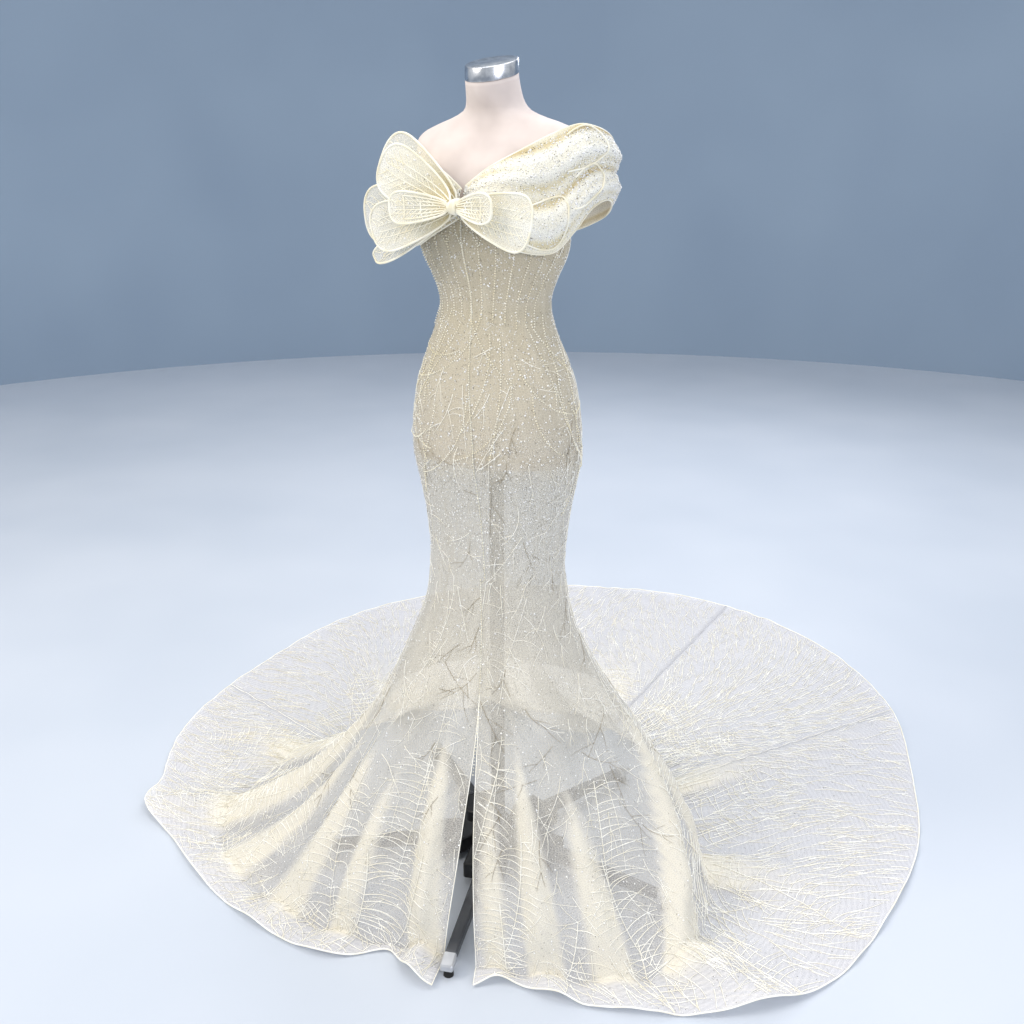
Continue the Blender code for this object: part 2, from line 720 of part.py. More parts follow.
def cylinder(name, radius_low, radius_top, depth, centre, segments, matrix=None):
    """A mesh of a cylinder or cone that stands on Z."""
    work = bmesh.new()
    bmesh.ops.create_cone(
        work,
        cap_ends=True,
        segments=segments,
        radius1=radius_low,
        radius2=radius_top,
        depth=depth,
    )
    bmesh.ops.transform(work, matrix=Matrix.Translation(centre), verts=work.verts)
    if matrix is not None:
        bmesh.ops.transform(work, matrix=matrix, verts=work.verts)
    mesh = bpy.data.meshes.new(name)
    work.to_mesh(mesh)
    work.free()
    return mesh


def make_neck_cap(materials, collection):
    """The metal cap on the neck, cut on a slant so that its front is lower."""
    neck = FORM[-1]
    centre = Vector((0.0, neck.centre_y, NECK_TOP + SEAM_GAP + CAP_HEIGHT / 2.0))
    slant = Matrix.Identity(4)
    slant[2][1] = CAP_SLANT
    slant[2][3] = -CAP_SLANT * neck.centre_y
    mesh = cylinder("neck_cap", CAP_RADIUS, CAP_RADIUS, CAP_HEIGHT, centre, 32, slant)
    make_object("neck_cap", mesh, materials["chrome"], collection)


def turned(name, profile, material, collection, steps=24):
    """A turned piece: a profile of (radius, height) from top to bottom, spun round Z."""
    work = bmesh.new()
    verts = [work.verts.new((radius, 0.0, height)) for radius, height in profile]
    for a, b in zip(verts, verts[1:]):
        work.edges.new((a, b))
    mesh = bpy.data.meshes.new(name)
    work.to_mesh(mesh)
    work.free()
    obj = make_object(name, mesh, material, collection)
    screw = obj.modifiers.new("turn", "SCREW")
    screw.steps = steps
    screw.render_steps = steps
    screw.use_merge_vertices = True
    screw.merge_threshold = 0.00001
    return obj


def bar_mesh(name, start, end, half_width, low, start_top, end_top):
    """A bar along +X with a sloping top, bevelled on its long edges."""
    work = bmesh.new()
    bmesh.ops.create_cube(work, size=1.0)
    for vert in work.verts:
        far = vert.co.x > 0
        vert.co.x = end if far else start
        vert.co.y = half_width if vert.co.y > 0 else -half_width
        top = end_top if far else start_top
        vert.co.z = top if vert.co.z > 0 else low
    mesh = bpy.data.meshes.new(name)
    work.to_mesh(mesh)
    work.free()
    return mesh


def socket_mesh(name):
    """The wide socket that holds a leg, from the hub outwards along +X."""
    start = HUB_RADIUS + SEAM_GAP
    outline = (
        (start, -SOCKET_NECK),
        (SOCKET_SHOULDER, -SOCKET_HALF_WIDTH),
        (SOCKET_END, -SOCKET_HALF_WIDTH),
        (SOCKET_END, SOCKET_HALF_WIDTH),
        (SOCKET_SHOULDER, SOCKET_HALF_WIDTH),
        (start, SOCKET_NECK),
    )
    work = bmesh.new()
    face = work.faces.new([work.verts.new((x, y, HUB_FOOT)) for x, y in outline])
    raised = bmesh.ops.extrude_face_region(work, geom=[face])["geom"]
    for vert in (item for item in raised if isinstance(item, bmesh.types.BMVert)):
        vert.co.z = SOCKET_TOP - 0.004
    bmesh.ops.recalc_face_normals(work, faces=work.faces)
    mesh = bpy.data.meshes.new(name)
    work.to_mesh(mesh)
    work.free()
    return mesh


def make_stand(materials, collection):
    """The pole, the hub and five legs, each with an end cap and a rubber foot."""
    pole_low = HUB_TOP + SEAM_GAP
    pole_length = FORM_FOOT - SEAM_GAP - pole_low
    centre = Vector((0.0, 0.0, pole_low + pole_length / 2.0))
    mesh = cylinder("pole", POLE_RADIUS, POLE_RADIUS, pole_length, centre, 20)
    make_object("pole", mesh, materials["grey_steel"], collection)
    hub = (
        (0.0, HUB_TOP),
        (0.024, HUB_TOP),
        (0.028, HUB_TOP - 0.004),
        (0.030, SOCKET_TOP + 0.010),
        (HUB_RADIUS - 0.004, SOCKET_TOP + 0.004),
        (HUB_RADIUS, SOCKET_TOP),
        (HUB_RADIUS, HUB_FOOT + 0.004),
        (HUB_RADIUS - 0.004, HUB_FOOT),
        (0.0, HUB_FOOT),
    )
    turned("base_hub", hub, materials["black_plastic"], collection, steps=30)
    for number in range(LEG_COUNT):
        azimuth = FIRST_LEG + 360.0 * number / LEG_COUNT
        turn = math.radians(azimuth - 90.0)
        label = number + 1
        socket = socket_mesh("socket")
        leg = bar_mesh("leg", LEG_START, LEG_END, LEG_HALF_WIDTH, 0.022, 0.058, 0.040)
        start = LEG_END + SEAM_GAP
        cap = bar_mesh("cap", start, CAP_END, LEG_HALF_WIDTH + 0.001, 0.020, 0.043, 0.036)
        foot = cylinder(
            "foot",
            FOOT_RADIUS,
            FOOT_RADIUS - 0.002,
            0.0197,
            Vector(((start + CAP_END) / 2.0, 0.0, 0.00985)),
            12,
        )
        pieces = (
            (f"leg_socket_{label}", socket, "black_plastic", 0.003),
            (f"leg_{label}", leg, "grey_steel", 0.004),
            (f"leg_cap_{label}", cap, "silver_plastic", 0.003),
            (f"foot_{label}", foot, "rubber", 0.0),
        )
        for name, mesh, finish, bevel in pieces:
            obj = make_object(name, mesh, materials[finish], collection)
            obj.rotation_euler.z = turn
            if bevel:
                modifier = obj.modifiers.new("edges", "BEVEL")
                modifier.width = bevel
                modifier.segments = 1


def stand_on_middle(collection):
    """Move every piece so that the origin is the middle of the whole footprint."""
    graph = bpy.context.evaluated_depsgraph_get()
    points = []
    for obj in collection.objects:
        evaluated = obj.evaluated_get(graph)
        points += [obj.matrix_world @ vert.co for vert in evaluated.data.vertices]
    middle_x = (min(p.x for p in points) + max(p.x for p in points)) / 2.0
    middle_y = (min(p.y for p in points) + max(p.y for p in points)) / 2.0
    for obj in collection.objects:
        obj.location.x -= middle_x
        obj.location.y -= middle_y


def main():
    """Build the gown, the form and the stand."""
    clear_scene()
    collection = make_collection("mermaid_gown_on_form")
    materials = make_materials()
    make_panels(materials, collection)
    make_lining(materials, collection)
    make_drapes(materials, collection)
    make_bow(materials, collection)
    make_form(materials, collection)
    make_neck_cap(materials, collection)
    make_stand(materials, collection)
    bpy.context.view_layer.update()
    stand_on_middle(collection)


main()
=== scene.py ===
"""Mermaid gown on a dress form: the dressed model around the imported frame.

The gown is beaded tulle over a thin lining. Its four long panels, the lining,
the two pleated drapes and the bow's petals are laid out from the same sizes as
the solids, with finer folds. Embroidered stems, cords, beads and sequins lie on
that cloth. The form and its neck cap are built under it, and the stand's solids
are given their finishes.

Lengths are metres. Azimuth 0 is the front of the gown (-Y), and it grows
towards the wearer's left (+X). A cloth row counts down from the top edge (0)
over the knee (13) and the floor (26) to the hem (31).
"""

import logging
import math
import random
from dataclasses import dataclass, field
from enum import Enum
from typing import Callable, Iterable, NamedTuple, Sequence

import bmesh
import bpy
import numpy as np
from mathutils import Matrix, Vector


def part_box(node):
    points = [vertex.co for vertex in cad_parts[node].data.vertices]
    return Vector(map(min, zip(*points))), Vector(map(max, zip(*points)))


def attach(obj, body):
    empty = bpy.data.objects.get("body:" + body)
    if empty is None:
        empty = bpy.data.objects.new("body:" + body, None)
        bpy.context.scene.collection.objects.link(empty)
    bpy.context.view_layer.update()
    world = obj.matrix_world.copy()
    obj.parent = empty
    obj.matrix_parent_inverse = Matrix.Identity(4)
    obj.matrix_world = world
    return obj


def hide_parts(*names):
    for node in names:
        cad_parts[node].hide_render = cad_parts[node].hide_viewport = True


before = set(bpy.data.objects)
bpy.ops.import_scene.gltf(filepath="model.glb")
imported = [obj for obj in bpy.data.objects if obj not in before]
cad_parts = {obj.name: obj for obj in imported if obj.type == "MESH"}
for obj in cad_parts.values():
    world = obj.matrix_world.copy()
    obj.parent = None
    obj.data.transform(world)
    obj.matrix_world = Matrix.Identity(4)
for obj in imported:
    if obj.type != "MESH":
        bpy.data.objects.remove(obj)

LOG = logging.getLogger("mermaid_gown")
SEED = 20
BODY = "root"
POLE_LOW, POLE_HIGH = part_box("pole")
AXIS = np.array([(POLE_LOW[0] + POLE_HIGH[0]) / 2.0, (POLE_LOW[1] + POLE_HIGH[1]) / 2.0, 0.0])

# Rows of the cloth: heights down to the knee, and shares of the way from landing to hem
ROWS_BODICE = 4
BODY_HEIGHTS = (1.300, 1.250, 1.200, 1.150, 1.100, 1.050, 0.985, 0.900, 0.820, 0.740)
KNEE_ROW = ROWS_BODICE + len(BODY_HEIGHTS) - 1
FLOOR_ROW = 26
FLOOR_SHARES = (0.0, 0.14, 0.36, 0.62, 0.84, 1.0)
HEM_ROW = 31
# How a panel's grid is spaced: a share of the way down it, and the cloth row there
CLOTH_ROWS = ((0.0, 0.0), (0.22, 13.0), (0.60, 26.0), (1.0, 31.0))

# How far the cloth lies off the form, off the skirt's sections and off the floor
EASE = 0.0038
SKIRT_EASE = 0.0005
FLOOR_CLEAR = 0.0006

# Heights: the form's foot and how far above it the form's sections end, the knee and a
# place above it, where folds are full, and where they begin to stand up from the floor
FORM_FOOT = 0.985
SKIRT_OVERLAP = 0.03
ABOVE_KNEE = 0.82
KNEE = 0.74
FULL_FOLDS = 0.12
FLOOR_TURN = 0.12

# Side seams, and the hem's circle on the floor
SIDE_SEAM = 104.0
SEAM_TURN_RIGHT = 0.0
SEAM_TURN_LEFT = 45.0
HEM_RADIUS = 1.05
HEM_CENTRE = (-0.17, 0.54)

# Steps, in degrees and rows, over which the cloth's slopes are read
SLOPE_TURN = 0.25
SLOPE_ROW = 0.05

# Cells that a panel is divided into, to scatter things evenly over it
CELLS_DOWN = 120
CELLS_ACROSS = 48


class Section(NamedTuple):
    """A level section: two half ellipses that share one half width."""

    height: float
    half_width: float
    front: float
    back: float
    centre_y: float


class Landing(NamedTuple):
    """How far from the pole the cloth lands on the floor."""

    azimuth: float
    reach: float


class Flare(NamedTuple):
    """How far a height has spread, where the cloth hangs steeply and where it sweeps out."""

    height: float
    steep: float
    swept: float


class Wave(NamedTuple):
    """A stretch of the hem that reaches further out or less far."""

    azimuth: float
    width: float
    reach: float


class Fold(NamedTuple):
    """A rounded ridge of the skirt that runs down to the hem."""

    azimuth_top: float
    azimuth_hem: float
    width: float
    depth: float
    start: float
    keep: float


class Crease(NamedTuple):
    """A short slanting ridge on the hip."""

    azimuth_top: float
    height_top: float
    azimuth_low: float
    height_low: float
    width: float
    depth: float


class SeamPoint(NamedTuple):
    """The centre-front seam at a height, and half the slit's opening there."""

    height: float
    azimuth: float
    half_opening: float


class TopPoint(NamedTuple):
    """The bodice's top edge at an azimuth."""

    azimuth: float
    height: float


class DrapeRow(NamedTuple):
    """A section of a drape: its upper edge, its lower edge and how far it puffs out."""

    top_x: float
    top_y: float
    top_z: float
    low_x: float
    low_y: float
    low_z: float
    puff: float


class PetalCut(NamedTuple):
    """A petal of the bow: where it points, its size, and how far forward it lies."""

    name: str
    side: int
    angle: float
    length: float
    half_width: float
    rise: float
    blunt: float
    lift_root: float
    lift_tip: float
    cup: float
    wave: float


FORM = (
    Section(0.985, 0.1805, 0.132, 0.136, 0.000),
    Section(1.033, 0.1830, 0.133, 0.138, 0.000),
    Section(1.100, 0.1760, 0.126, 0.130, 0.000),
    Section(1.140, 0.1680, 0.119, 0.124, 0.000),
    Section(1.180, 0.1545, 0.110, 0.115, 0.000),
    Section(1.220, 0.1370, 0.100, 0.101, 0.000),
    Section(1.260, 0.1215, 0.091, 0.090, 0.000),
    Section(1.303, 0.1135, 0.086, 0.083, 0.000),
    Section(1.345, 0.1260, 0.093, 0.085, 0.000),
    Section(1.400, 0.1510, 0.112, 0.089, 0.000),
    Section(1.440, 0.1560, 0.121, 0.092, 0.000),
    Section(1.480, 0.1550, 0.117, 0.095, 0.000),
    Section(1.520, 0.1580, 0.103, 0.097, 0.002),
    Section(1.560, 0.1680, 0.088, 0.094, 0.006),
    Section(1.592, 0.1820, 0.074, 0.086, 0.010),
    Section(1.610, 0.1830, 0.064, 0.076, 0.013),
    Section(1.626, 0.1670, 0.055, 0.066, 0.015),
    Section(1.640, 0.1320, 0.050, 0.057, 0.015),
    Section(1.651, 0.0960, 0.048, 0.050, 0.013),
    Section(1.663, 0.0690, 0.048, 0.048, 0.009),
    Section(1.678, 0.0580, 0.049, 0.048, 0.002),
    Section(1.700, 0.0530, 0.050, 0.049, -0.005),
    Section(1.722, 0.0510, 0.050, 0.050, -0.010),
)
SKIRT = (
    Section(1.033, 0.1895, 0.1395, 0.1445, 0.0),
    Section(0.985, 0.1870, 0.1385, 0.1425, 0.0),
    Section(0.940, 0.1785, 0.1300, 0.1390, 0.0),
    Section(0.880, 0.1660, 0.1200, 0.1320, 0.0),
    Section(0.830, 0.1580, 0.1150, 0.1280, 0.0),
    Section(0.780, 0.1540, 0.1130, 0.1250, 0.0),
    Section(0.740, 0.1520, 0.1130, 0.1240, 0.0),
)
LANDINGS = (
    Landing(-180.0, 0.640),
    Landing(-140.0, 0.670),
    Landing(-100.0, 0.700),
    Landing(-65.0, 0.680),
    Landing(-40.0, 0.560),
    Landing(-20.0, 0.470),
    Landing(0.0, 0.405),
    Landing(25.0, 0.415),
    Landing(45.0, 0.465),
    Landing(70.0, 0.550),
    Landing(95.0, 0.520),
    Landing(120.0, 0.470),
    Landing(150.0, 0.530),
    Landing(180.0, 0.640),
)
NEAR_LANDING = 0.42
FAR_LANDING = 0.70
FLARE = (
    Flare(0.680, 0.020, 0.008),
    Flare(0.620, 0.060, 0.036),
    Flare(0.560, 0.135, 0.084),
    Flare(0.500, 0.230, 0.130),
    Flare(0.430, 0.350, 0.183),
    Flare(0.360, 0.480, 0.245),
    Flare(0.290, 0.610, 0.325),
    Flare(0.215, 0.735, 0.435),
    Flare(0.145, 0.840, 0.560),
    Flare(0.085, 0.920, 0.720),
    Flare(0.036, 0.970, 0.870),
    Flare(0.010, 0.992, 0.965),
    Flare(0.000, 1.000, 1.000),
)
HEM_WAVES = (
    Wave(-112.0, 18.0, -0.060),
    Wave(-70.0, 5.0, 0.045),
    Wave(-2.0, 8.0, -0.075),
    Wave(32.0, 10.0, -0.045),
    Wave(80.0, 24.0, 0.100),
    Wave(136.0, 14.0, -0.040),
    Wave(178.0, 20.0, 0.060),
)
FOLDS = (
    Fold(-168.0, -172.0, 7.0, 0.022, 0.55, 0.15),
    Fold(-142.0, -150.0, 8.0, 0.026, 0.60, 0.20),
    Fold(-118.0, -127.0, 7.0, 0.020, 0.50, 0.20),
    Fold(-88.0, -96.0, 7.0, 0.018, 0.50, 0.20),
    Fold(-66.0, -71.0, 5.5, 0.034, 0.55, 0.60),
    Fold(-46.0, -52.0, 5.5, 0.022, 0.50, 0.40),
    Fold(-30.0, -33.0, 5.0, 0.026, 0.52, 0.50),
    Fold(-14.0, -16.0, 4.5, 0.018, 0.55, 0.70),
    Fold(2.0, 8.0, 5.0, 0.032, 0.58, 1.00),
    Fold(26.0, 30.0, 4.0, 0.018, 0.58, 0.90),
    Fold(38.0, 43.0, 4.5, 0.026, 0.60, 0.80),
    Fold(56.0, 57.0, 5.0, 0.020, 0.50, 0.50),
    Fold(122.0, 75.0, 6.0, 0.045, 0.52, 0.60),
    Fold(128.0, 108.0, 7.0, 0.024, 0.50, 0.30),
    Fold(158.0, 147.0, 5.0, 0.018, 0.50, 0.60),
)
CREASES = (
    Crease(46.0, 1.28, 82.0, 1.02, 4.5, 0.0085),
    Crease(60.0, 1.25, 94.0, 1.06, 4.0, 0.0060),
    Crease(38.0, 1.20, 66.0, 1.01, 4.0, 0.0060),
    Crease(66.0, 1.09, 98.0, 0.97, 4.5, 0.0060),
    Crease(-72.0, 1.30, -46.0, 1.14, 4.0, 0.0030),
    Crease(-84.0, 1.12, -58.0, 1.00, 4.0, 0.0030),
)
FRONT_SEAM = (
    SeamPoint(1.60, 0.0, 0.0),
    SeamPoint(1.25, 0.5, 0.0),
    SeamPoint(1.033, 8.0, 0.0),
    SeamPoint(0.740, 14.0, 0.0),
    SeamPoint(0.500, 19.0, 0.0),
    SeamPoint(0.250, 19.3, 2.4),
    SeamPoint(0.000, 19.5, 4.9),
)
TOP_EDGE = (
    TopPoint(0.0, 1.500),
    TopPoint(35.0, 1.505),
    TopPoint(70.0, 1.470),
    TopPoint(100.0, 1.440),
    TopPoint(140.0, 1.425),
    TopPoint(180.0, 1.420),
)
DRAPE_LEFT = (
    DrapeRow(0.004, -0.1150, 1.527, 0.004, -0.1224, 1.474, 0.004),
    DrapeRow(0.050, -0.106, 1.560, 0.056, -0.131, 1.440, 0.010),
    DrapeRow(0.106, -0.088, 1.590, 0.112, -0.100, 1.412, 0.015),
    DrapeRow(0.152, -0.066, 1.615, 0.158, -0.056, 1.408, 0.018),
    DrapeRow(0.198, -0.046, 1.634, 0.190, -0.030, 1.446, 0.019),
    DrapeRow(0.222, -0.024, 1.632, 0.214, -0.010, 1.486, 0.017),
    DrapeRow(0.234, 0.012, 1.620, 0.228, 0.024, 1.502, 0.016),
    DrapeRow(0.224, 0.056, 1.602, 0.222, 0.064, 1.492, 0.014),
    DrapeRow(0.182, 0.098, 1.580, 0.184, 0.106, 1.464, 0.012),
    DrapeRow(0.108, 0.108, 1.560, 0.108, 0.104, 1.434, 0.008),
    DrapeRow(0.004, 0.110, 1.548, 0.004, 0.0972, 1.424, 0.006),
)
DRAPE_RIGHT = (
    DrapeRow(-0.004, -0.1150, 1.521, -0.004, -0.1232, 1.470, 0.003),
    DrapeRow(-0.050, -0.106, 1.552, -0.056, -0.130, 1.440, 0.006),
    DrapeRow(-0.106, -0.088, 1.574, -0.112, -0.100, 1.416, 0.008),
    DrapeRow(-0.152, -0.064, 1.584, -0.158, -0.056, 1.412, 0.008),
    DrapeRow(-0.194, -0.040, 1.590, -0.184, -0.032, 1.438, 0.009),
    DrapeRow(-0.218, -0.012, 1.586, -0.212, -0.008, 1.460, 0.010),
    DrapeRow(-0.222, 0.022, 1.580, -0.220, 0.028, 1.466, 0.010),
    DrapeRow(-0.208, 0.060, 1.572, -0.208, 0.066, 1.462, 0.010),
    DrapeRow(-0.168, 0.098, 1.562, -0.168, 0.104, 1.446, 0.009),
    DrapeRow(-0.100, 0.108, 1.552, -0.100, 0.104, 1.432, 0.008),
    DrapeRow(-0.004, 0.110, 1.548, -0.004, 0.0972, 1.424, 0.006),
)
PETALS = (
    PetalCut("petal_right_upper_back", -1, 28.0, 0.198, 0.064, 0.55, 8.0, -0.021, -0.026, 0.003, 0.0015),
    PetalCut("petal_right_side_back", -1, -6.0, 0.214, 0.060, 0.60, 8.0, -0.014, -0.013, 0.003, 0.0015),
    PetalCut("petal_right_tail", -1, -26.0, 0.240, 0.026, 1.00, 3.0, -0.027, -0.042, 0.001, 0.000),
    PetalCut("petal_right_lower", -1, -15.0, 0.190, 0.048, 0.50, 8.0, -0.006, 0.006, 0.004, 0.0015),
    PetalCut("petal_right_upper_front", -1, 28.0, 0.168, 0.056, 0.50, 6.0, 0.001, 0.018, 0.005, 0.0015),
    PetalCut("petal_right_loop", -1, -1.0, 0.120, 0.030, 0.60, 6.0, 0.009, 0.034, 0.006, 0.000),
    PetalCut("petal_left_lower", 1, -11.0, 0.160, 0.054, 0.55, 10.0, -0.004, -0.008, 0.004, 0.0015),
    PetalCut("petal_left_loop", 1, 0.0, 0.092, 0.027, 0.60, 6.0, 0.007, 0.020, 0.006, 0.000),
)
PETAL_END = 0.006
KNOT = np.array([0.014, -0.170, 1.492])
KNOT_BACK = 0.0095
KNOT_HALVES = np.array([0.0112, 0.0342, 0.0152])


class Slot(Enum):
    """The record's material slots, which the pieces made here are not given."""

    TULLE = "beaded_tulle"
    LINING = "champagne_lining"
    ORGANZA = "corded_organza"
    JERSEY = "form_jersey"
    CHROME = "chrome"


# Small helpers


def linear(colour: str) -> tuple[float, float, float, float]:
    """Turn an sRGB hex colour to linear light.

    Args:
        colour: Six hex digits after a hash.

    Returns:
        Red, green, blue and an alpha of 1.
    """
    parts = [int(colour[k : k + 2], 16) / 255.0 for k in (1, 3, 5)]
    red, green, blue = (
        part / 12.92 if part <= 0.04045 else ((part + 0.055) / 1.055) ** 2.4 for part in parts
    )
    return red, green, blue, 1.0


def add(tree: bpy.types.NodeTree, kind: str, links: dict | None = None, **settings) -> bpy.types.Node:
    """Add a shader node with its settings, and fill or link its inputs.

    Args:
        tree: The material's node tree.
        kind: The node's type name.
        links: An input's name or number, and an output socket or a value for it.
        settings: Attributes of the node.

    Returns:
        The new node.
    """
    node = tree.nodes.new(kind)
    stops = settings.pop("stops", ())
    for name, value in settings.items():
        setattr(node, name, value)
    for k, (place, colour) in enumerate(stops):
        marks = node.color_ramp.elements
        mark = marks[k] if k < 2 else marks.new(place)
        mark.position, mark.color = place, colour
    for name, value in (links or {}).items():
        if isinstance(value, bpy.types.NodeSocket):
            tree.links.new(value, node.inputs[name])
        else:
            node.inputs[name].default_value = value
    return node


def smoothstep(x: np.ndarray) -> np.ndarray:
    """0 below 0, 1 above 1, and an even curve between."""
    x = np.clip(x, 0.0, 1.0)
    return x * x * (3.0 - 2.0 * x)


def turn_between(a: np.ndarray, b: np.ndarray | float) -> np.ndarray:
    """The angle from b to a in degrees, from -180 to 180."""
    return (a - b + 180.0) % 360.0 - 180.0


def cubic(knots: Sequence[np.ndarray], share: np.ndarray) -> np.ndarray:
    """Read a smooth curve between the middle two of four knots, as the solids do.

    Args:
        knots: Rows of values: a knot before, the two round each place, and one after.
        share: How far each place is from the second knot to the third.

    Returns:
        One row of values for each place.
    """
    a, b, c, d = knots
    t = share[:, None]
    t2, t3 = t * t, t * t * t
    return (
        (2 * t3 - 3 * t2 + 1) * b
        + (t3 - 2 * t2 + t) * (c - a) / 2.0
        + (-2 * t3 + 3 * t2) * c
        + (t3 - t2) * (d - b) / 2.0
    )


def hermite(rows: np.ndarray, index: np.ndarray, share: np.ndarray) -> np.ndarray:
    """Read a smooth curve through all the rows.

    Args:
        rows: One row of values for each knot.
        index: The knot before each place.
        share: How far each place is towards the next knot.

    Returns:
        One row of values for each place.
    """
    return cubic([rows[np.clip(index + k, 0, len(rows) - 1)] for k in (-1, 0, 1, 2)], share)


def along(table: Iterable[NamedTuple], key: str, values: np.ndarray) -> dict[str, np.ndarray]:
    """Read a table at these values of one column.

    Args:
        table: Rows with named columns.
        key: The column that the values are of.
        values: Where to read.

    Returns:
        Each column's values there.
    """
    rows = sorted(table, key=lambda row: getattr(row, key))
    names = rows[0]._fields
    grid = np.array(rows, float)
    keys = grid[:, names.index(key)]
    values = np.asarray(values, float)
    places = np.clip(values.ravel(), keys[0], keys[-1])
    index = np.clip(np.searchsorted(keys, places, side="right") - 1, 0, len(keys) - 2)
    share = (places - keys[index]) / (keys[index + 1] - keys[index])
    read = hermite(grid, index, share)
    return {name: read[:, k].reshape(values.shape) for k, name in enumerate(names)}


# The shape of the cloth


@dataclass(frozen=True)
class GownShape:
    """Where the gown's cloth lies, from the same sizes as the solids."""

    fine_folds: int = 46
    fine_depth: float = 0.006
    fine_width: tuple[float, float] = (1.3, 2.6)
    fine_start: tuple[float, float] = (0.42, 0.66)
    fine_keep: tuple[float, float] = (0.1, 0.6)
    ripple: float = 0.0022

    def ring(self, azimuth: np.ndarray, height: np.ndarray, ease: float) -> np.ndarray:
        """Find points on the form, or on the skirt below it.

        Args:
            azimuth: Degrees from the front.
            height: Heights above the floor.
            ease: How far off the form the cloth lies.

        Returns:
            Points about the pole.
        """
        over, under = along(FORM, "height", height), along(SKIRT, "height", height)
        on_form = height >= FORM_FOOT + SKIRT_OVERLAP
        angle = np.radians(azimuth)
        near = np.cos(angle) > 0
        gap = np.where(on_form, EASE, SKIRT_EASE) + ease
        half = np.where(on_form, over["half_width"], under["half_width"]) + gap
        front = np.where(on_form, over["front"], under["front"]) + gap
        back = np.where(on_form, over["back"], under["back"]) + gap
        middle = np.where(on_form, over["centre_y"], 0.0)
        depth = np.where(near, front, back)
        return np.stack([half * np.sin(angle), middle - depth * np.cos(angle), height], 1)

    def hem_reach(self, azimuth: np.ndarray) -> np.ndarray:
        """Find the hem's distance from the pole.

        Args:
            azimuth: Degrees from the front.

        Returns:
            Distances in metres.
        """
        angle = np.radians(azimuth)
        inward = HEM_CENTRE[0] * np.sin(angle) - HEM_CENTRE[1] * np.cos(angle)
        radius = np.full(len(azimuth), HEM_RADIUS)
        for wave in HEM_WAVES:
            radius += wave.reach * np.exp(-((turn_between(azimuth, wave.azimuth) / wave.width) ** 2))
        return inward + np.sqrt(inward**2 - HEM_CENTRE[0] ** 2 - HEM_CENTRE[1] ** 2 + radius**2)

    def base(self, azimuth: np.ndarray, row: np.ndarray) -> np.ndarray:
        """The reach and height of the skirt and train, without folds.

        Args:
            azimuth: Degrees from the front.
            row: Cloth rows from the knee on.

        Returns:
            Two columns: the distance from the pole, and the height.
        """
        count = len(azimuth)
        knots = []
        for height in (ABOVE_KNEE, KNEE):
            place = self.ring(azimuth, np.full(count, height), 0.0)
            knots.append((np.hypot(place[:, 0], place[:, 1]), np.full(count, height)))
        knee = knots[-1][0]
        landed = along(LANDINGS, "azimuth", turn_between(azimuth, 0.0))["reach"]
        steepness = smoothstep((FAR_LANDING - landed) / (FAR_LANDING - NEAR_LANDING))
        for step in FLARE:
            spread = step.swept + (step.steep - step.swept) * steepness
            knots.append((knee + (landed - knee) * spread, np.full(count, step.height)))
        hem = self.hem_reach(azimuth)
        for share in FLOOR_SHARES[1:]:
            knots.append((landed + (hem - landed) * share, np.zeros(count)))
        grid = np.array(knots)
        place = np.clip(row - KNEE_ROW + 1.0, 0.0, len(knots) - 1.0)
        index = np.minimum(place.astype(int), len(knots) - 2)
        own = np.arange(count)
        near = [grid[np.clip(index + k, 0, len(knots) - 1), :, own] for k in (-1, 0, 1, 2)]
        return cubic(near, place - index)

    def fold_depth(self, azimuth: np.ndarray, height: np.ndarray, share: np.ndarray) -> np.ndarray:
        """How far the folds push the cloth out.

        Args:
            azimuth: Degrees from the front.
            height: Heights above the floor.
            share: How far each place is from the landing to the hem.

        Returns:
            Depths in metres.
        """
        total = np.zeros(len(azimuth))
        for fold in FOLDS + self.small_folds():
            fallen = np.maximum(fold.start - height, 0.0) / fold.start
            centre = fold.azimuth_top + (fold.azimuth_hem - fold.azimuth_top) * fallen
            grown = smoothstep((fold.start - height) / (fold.start - FULL_FOLDS))
            kept = 1.0 + (fold.keep - 1.0) * share
            away = turn_between(azimuth, centre) / fold.width
            total += fold.depth * grown * kept * np.exp(-away * away)
        return total

    def small_folds(self) -> tuple[Fold, ...]:
        """Make fine folds between the large ones, the same in every run.

        Returns:
            The folds.
        """
        draw = random.Random(SEED)
        folds = []
        for k in range(self.fine_folds):
            azimuth = -180.0 + 360.0 * (k + draw.uniform(-0.35, 0.35)) / self.fine_folds
            depth = self.fine_depth * draw.uniform(0.3, 1.0)
            width = draw.uniform(*self.fine_width)
            start = draw.uniform(*self.fine_start)
            kept = draw.uniform(*self.fine_keep)
            folds.append(Fold(azimuth, azimuth * 1.02, width, depth, start, kept))
        return tuple(folds)

    def at(self, azimuth: np.ndarray, row: np.ndarray) -> np.ndarray:
        """Find points of the gown's cloth.

        Args:
            azimuth: Degrees from the front.
            row: Cloth rows, 0 at the top edge and 31 at the hem.

        Returns:
            Points about the pole.
        """
        azimuth, row = np.asarray(azimuth, float), np.asarray(row, float)
        top = along(TOP_EDGE, "azimuth", np.abs(turn_between(azimuth, 0.0)))["height"]
        over = top + (BODY_HEIGHTS[0] - top) * row / ROWS_BODICE
        lower = np.interp(row - ROWS_BODICE, np.arange(len(BODY_HEIGHTS)), BODY_HEIGHTS)
        height = np.where(row < ROWS_BODICE, over, lower)
        points = self.ring(azimuth, height, 0.0)
        angle = np.radians(azimuth)
        outward = np.stack([np.sin(angle), -np.cos(angle), np.zeros(len(angle))], 1)
        points += outward * self.crease_depth(azimuth, height)[:, None]
        low = row > KNEE_ROW
        if low.any():
            points[low] = self.skirt(azimuth[low], row[low])
        return points

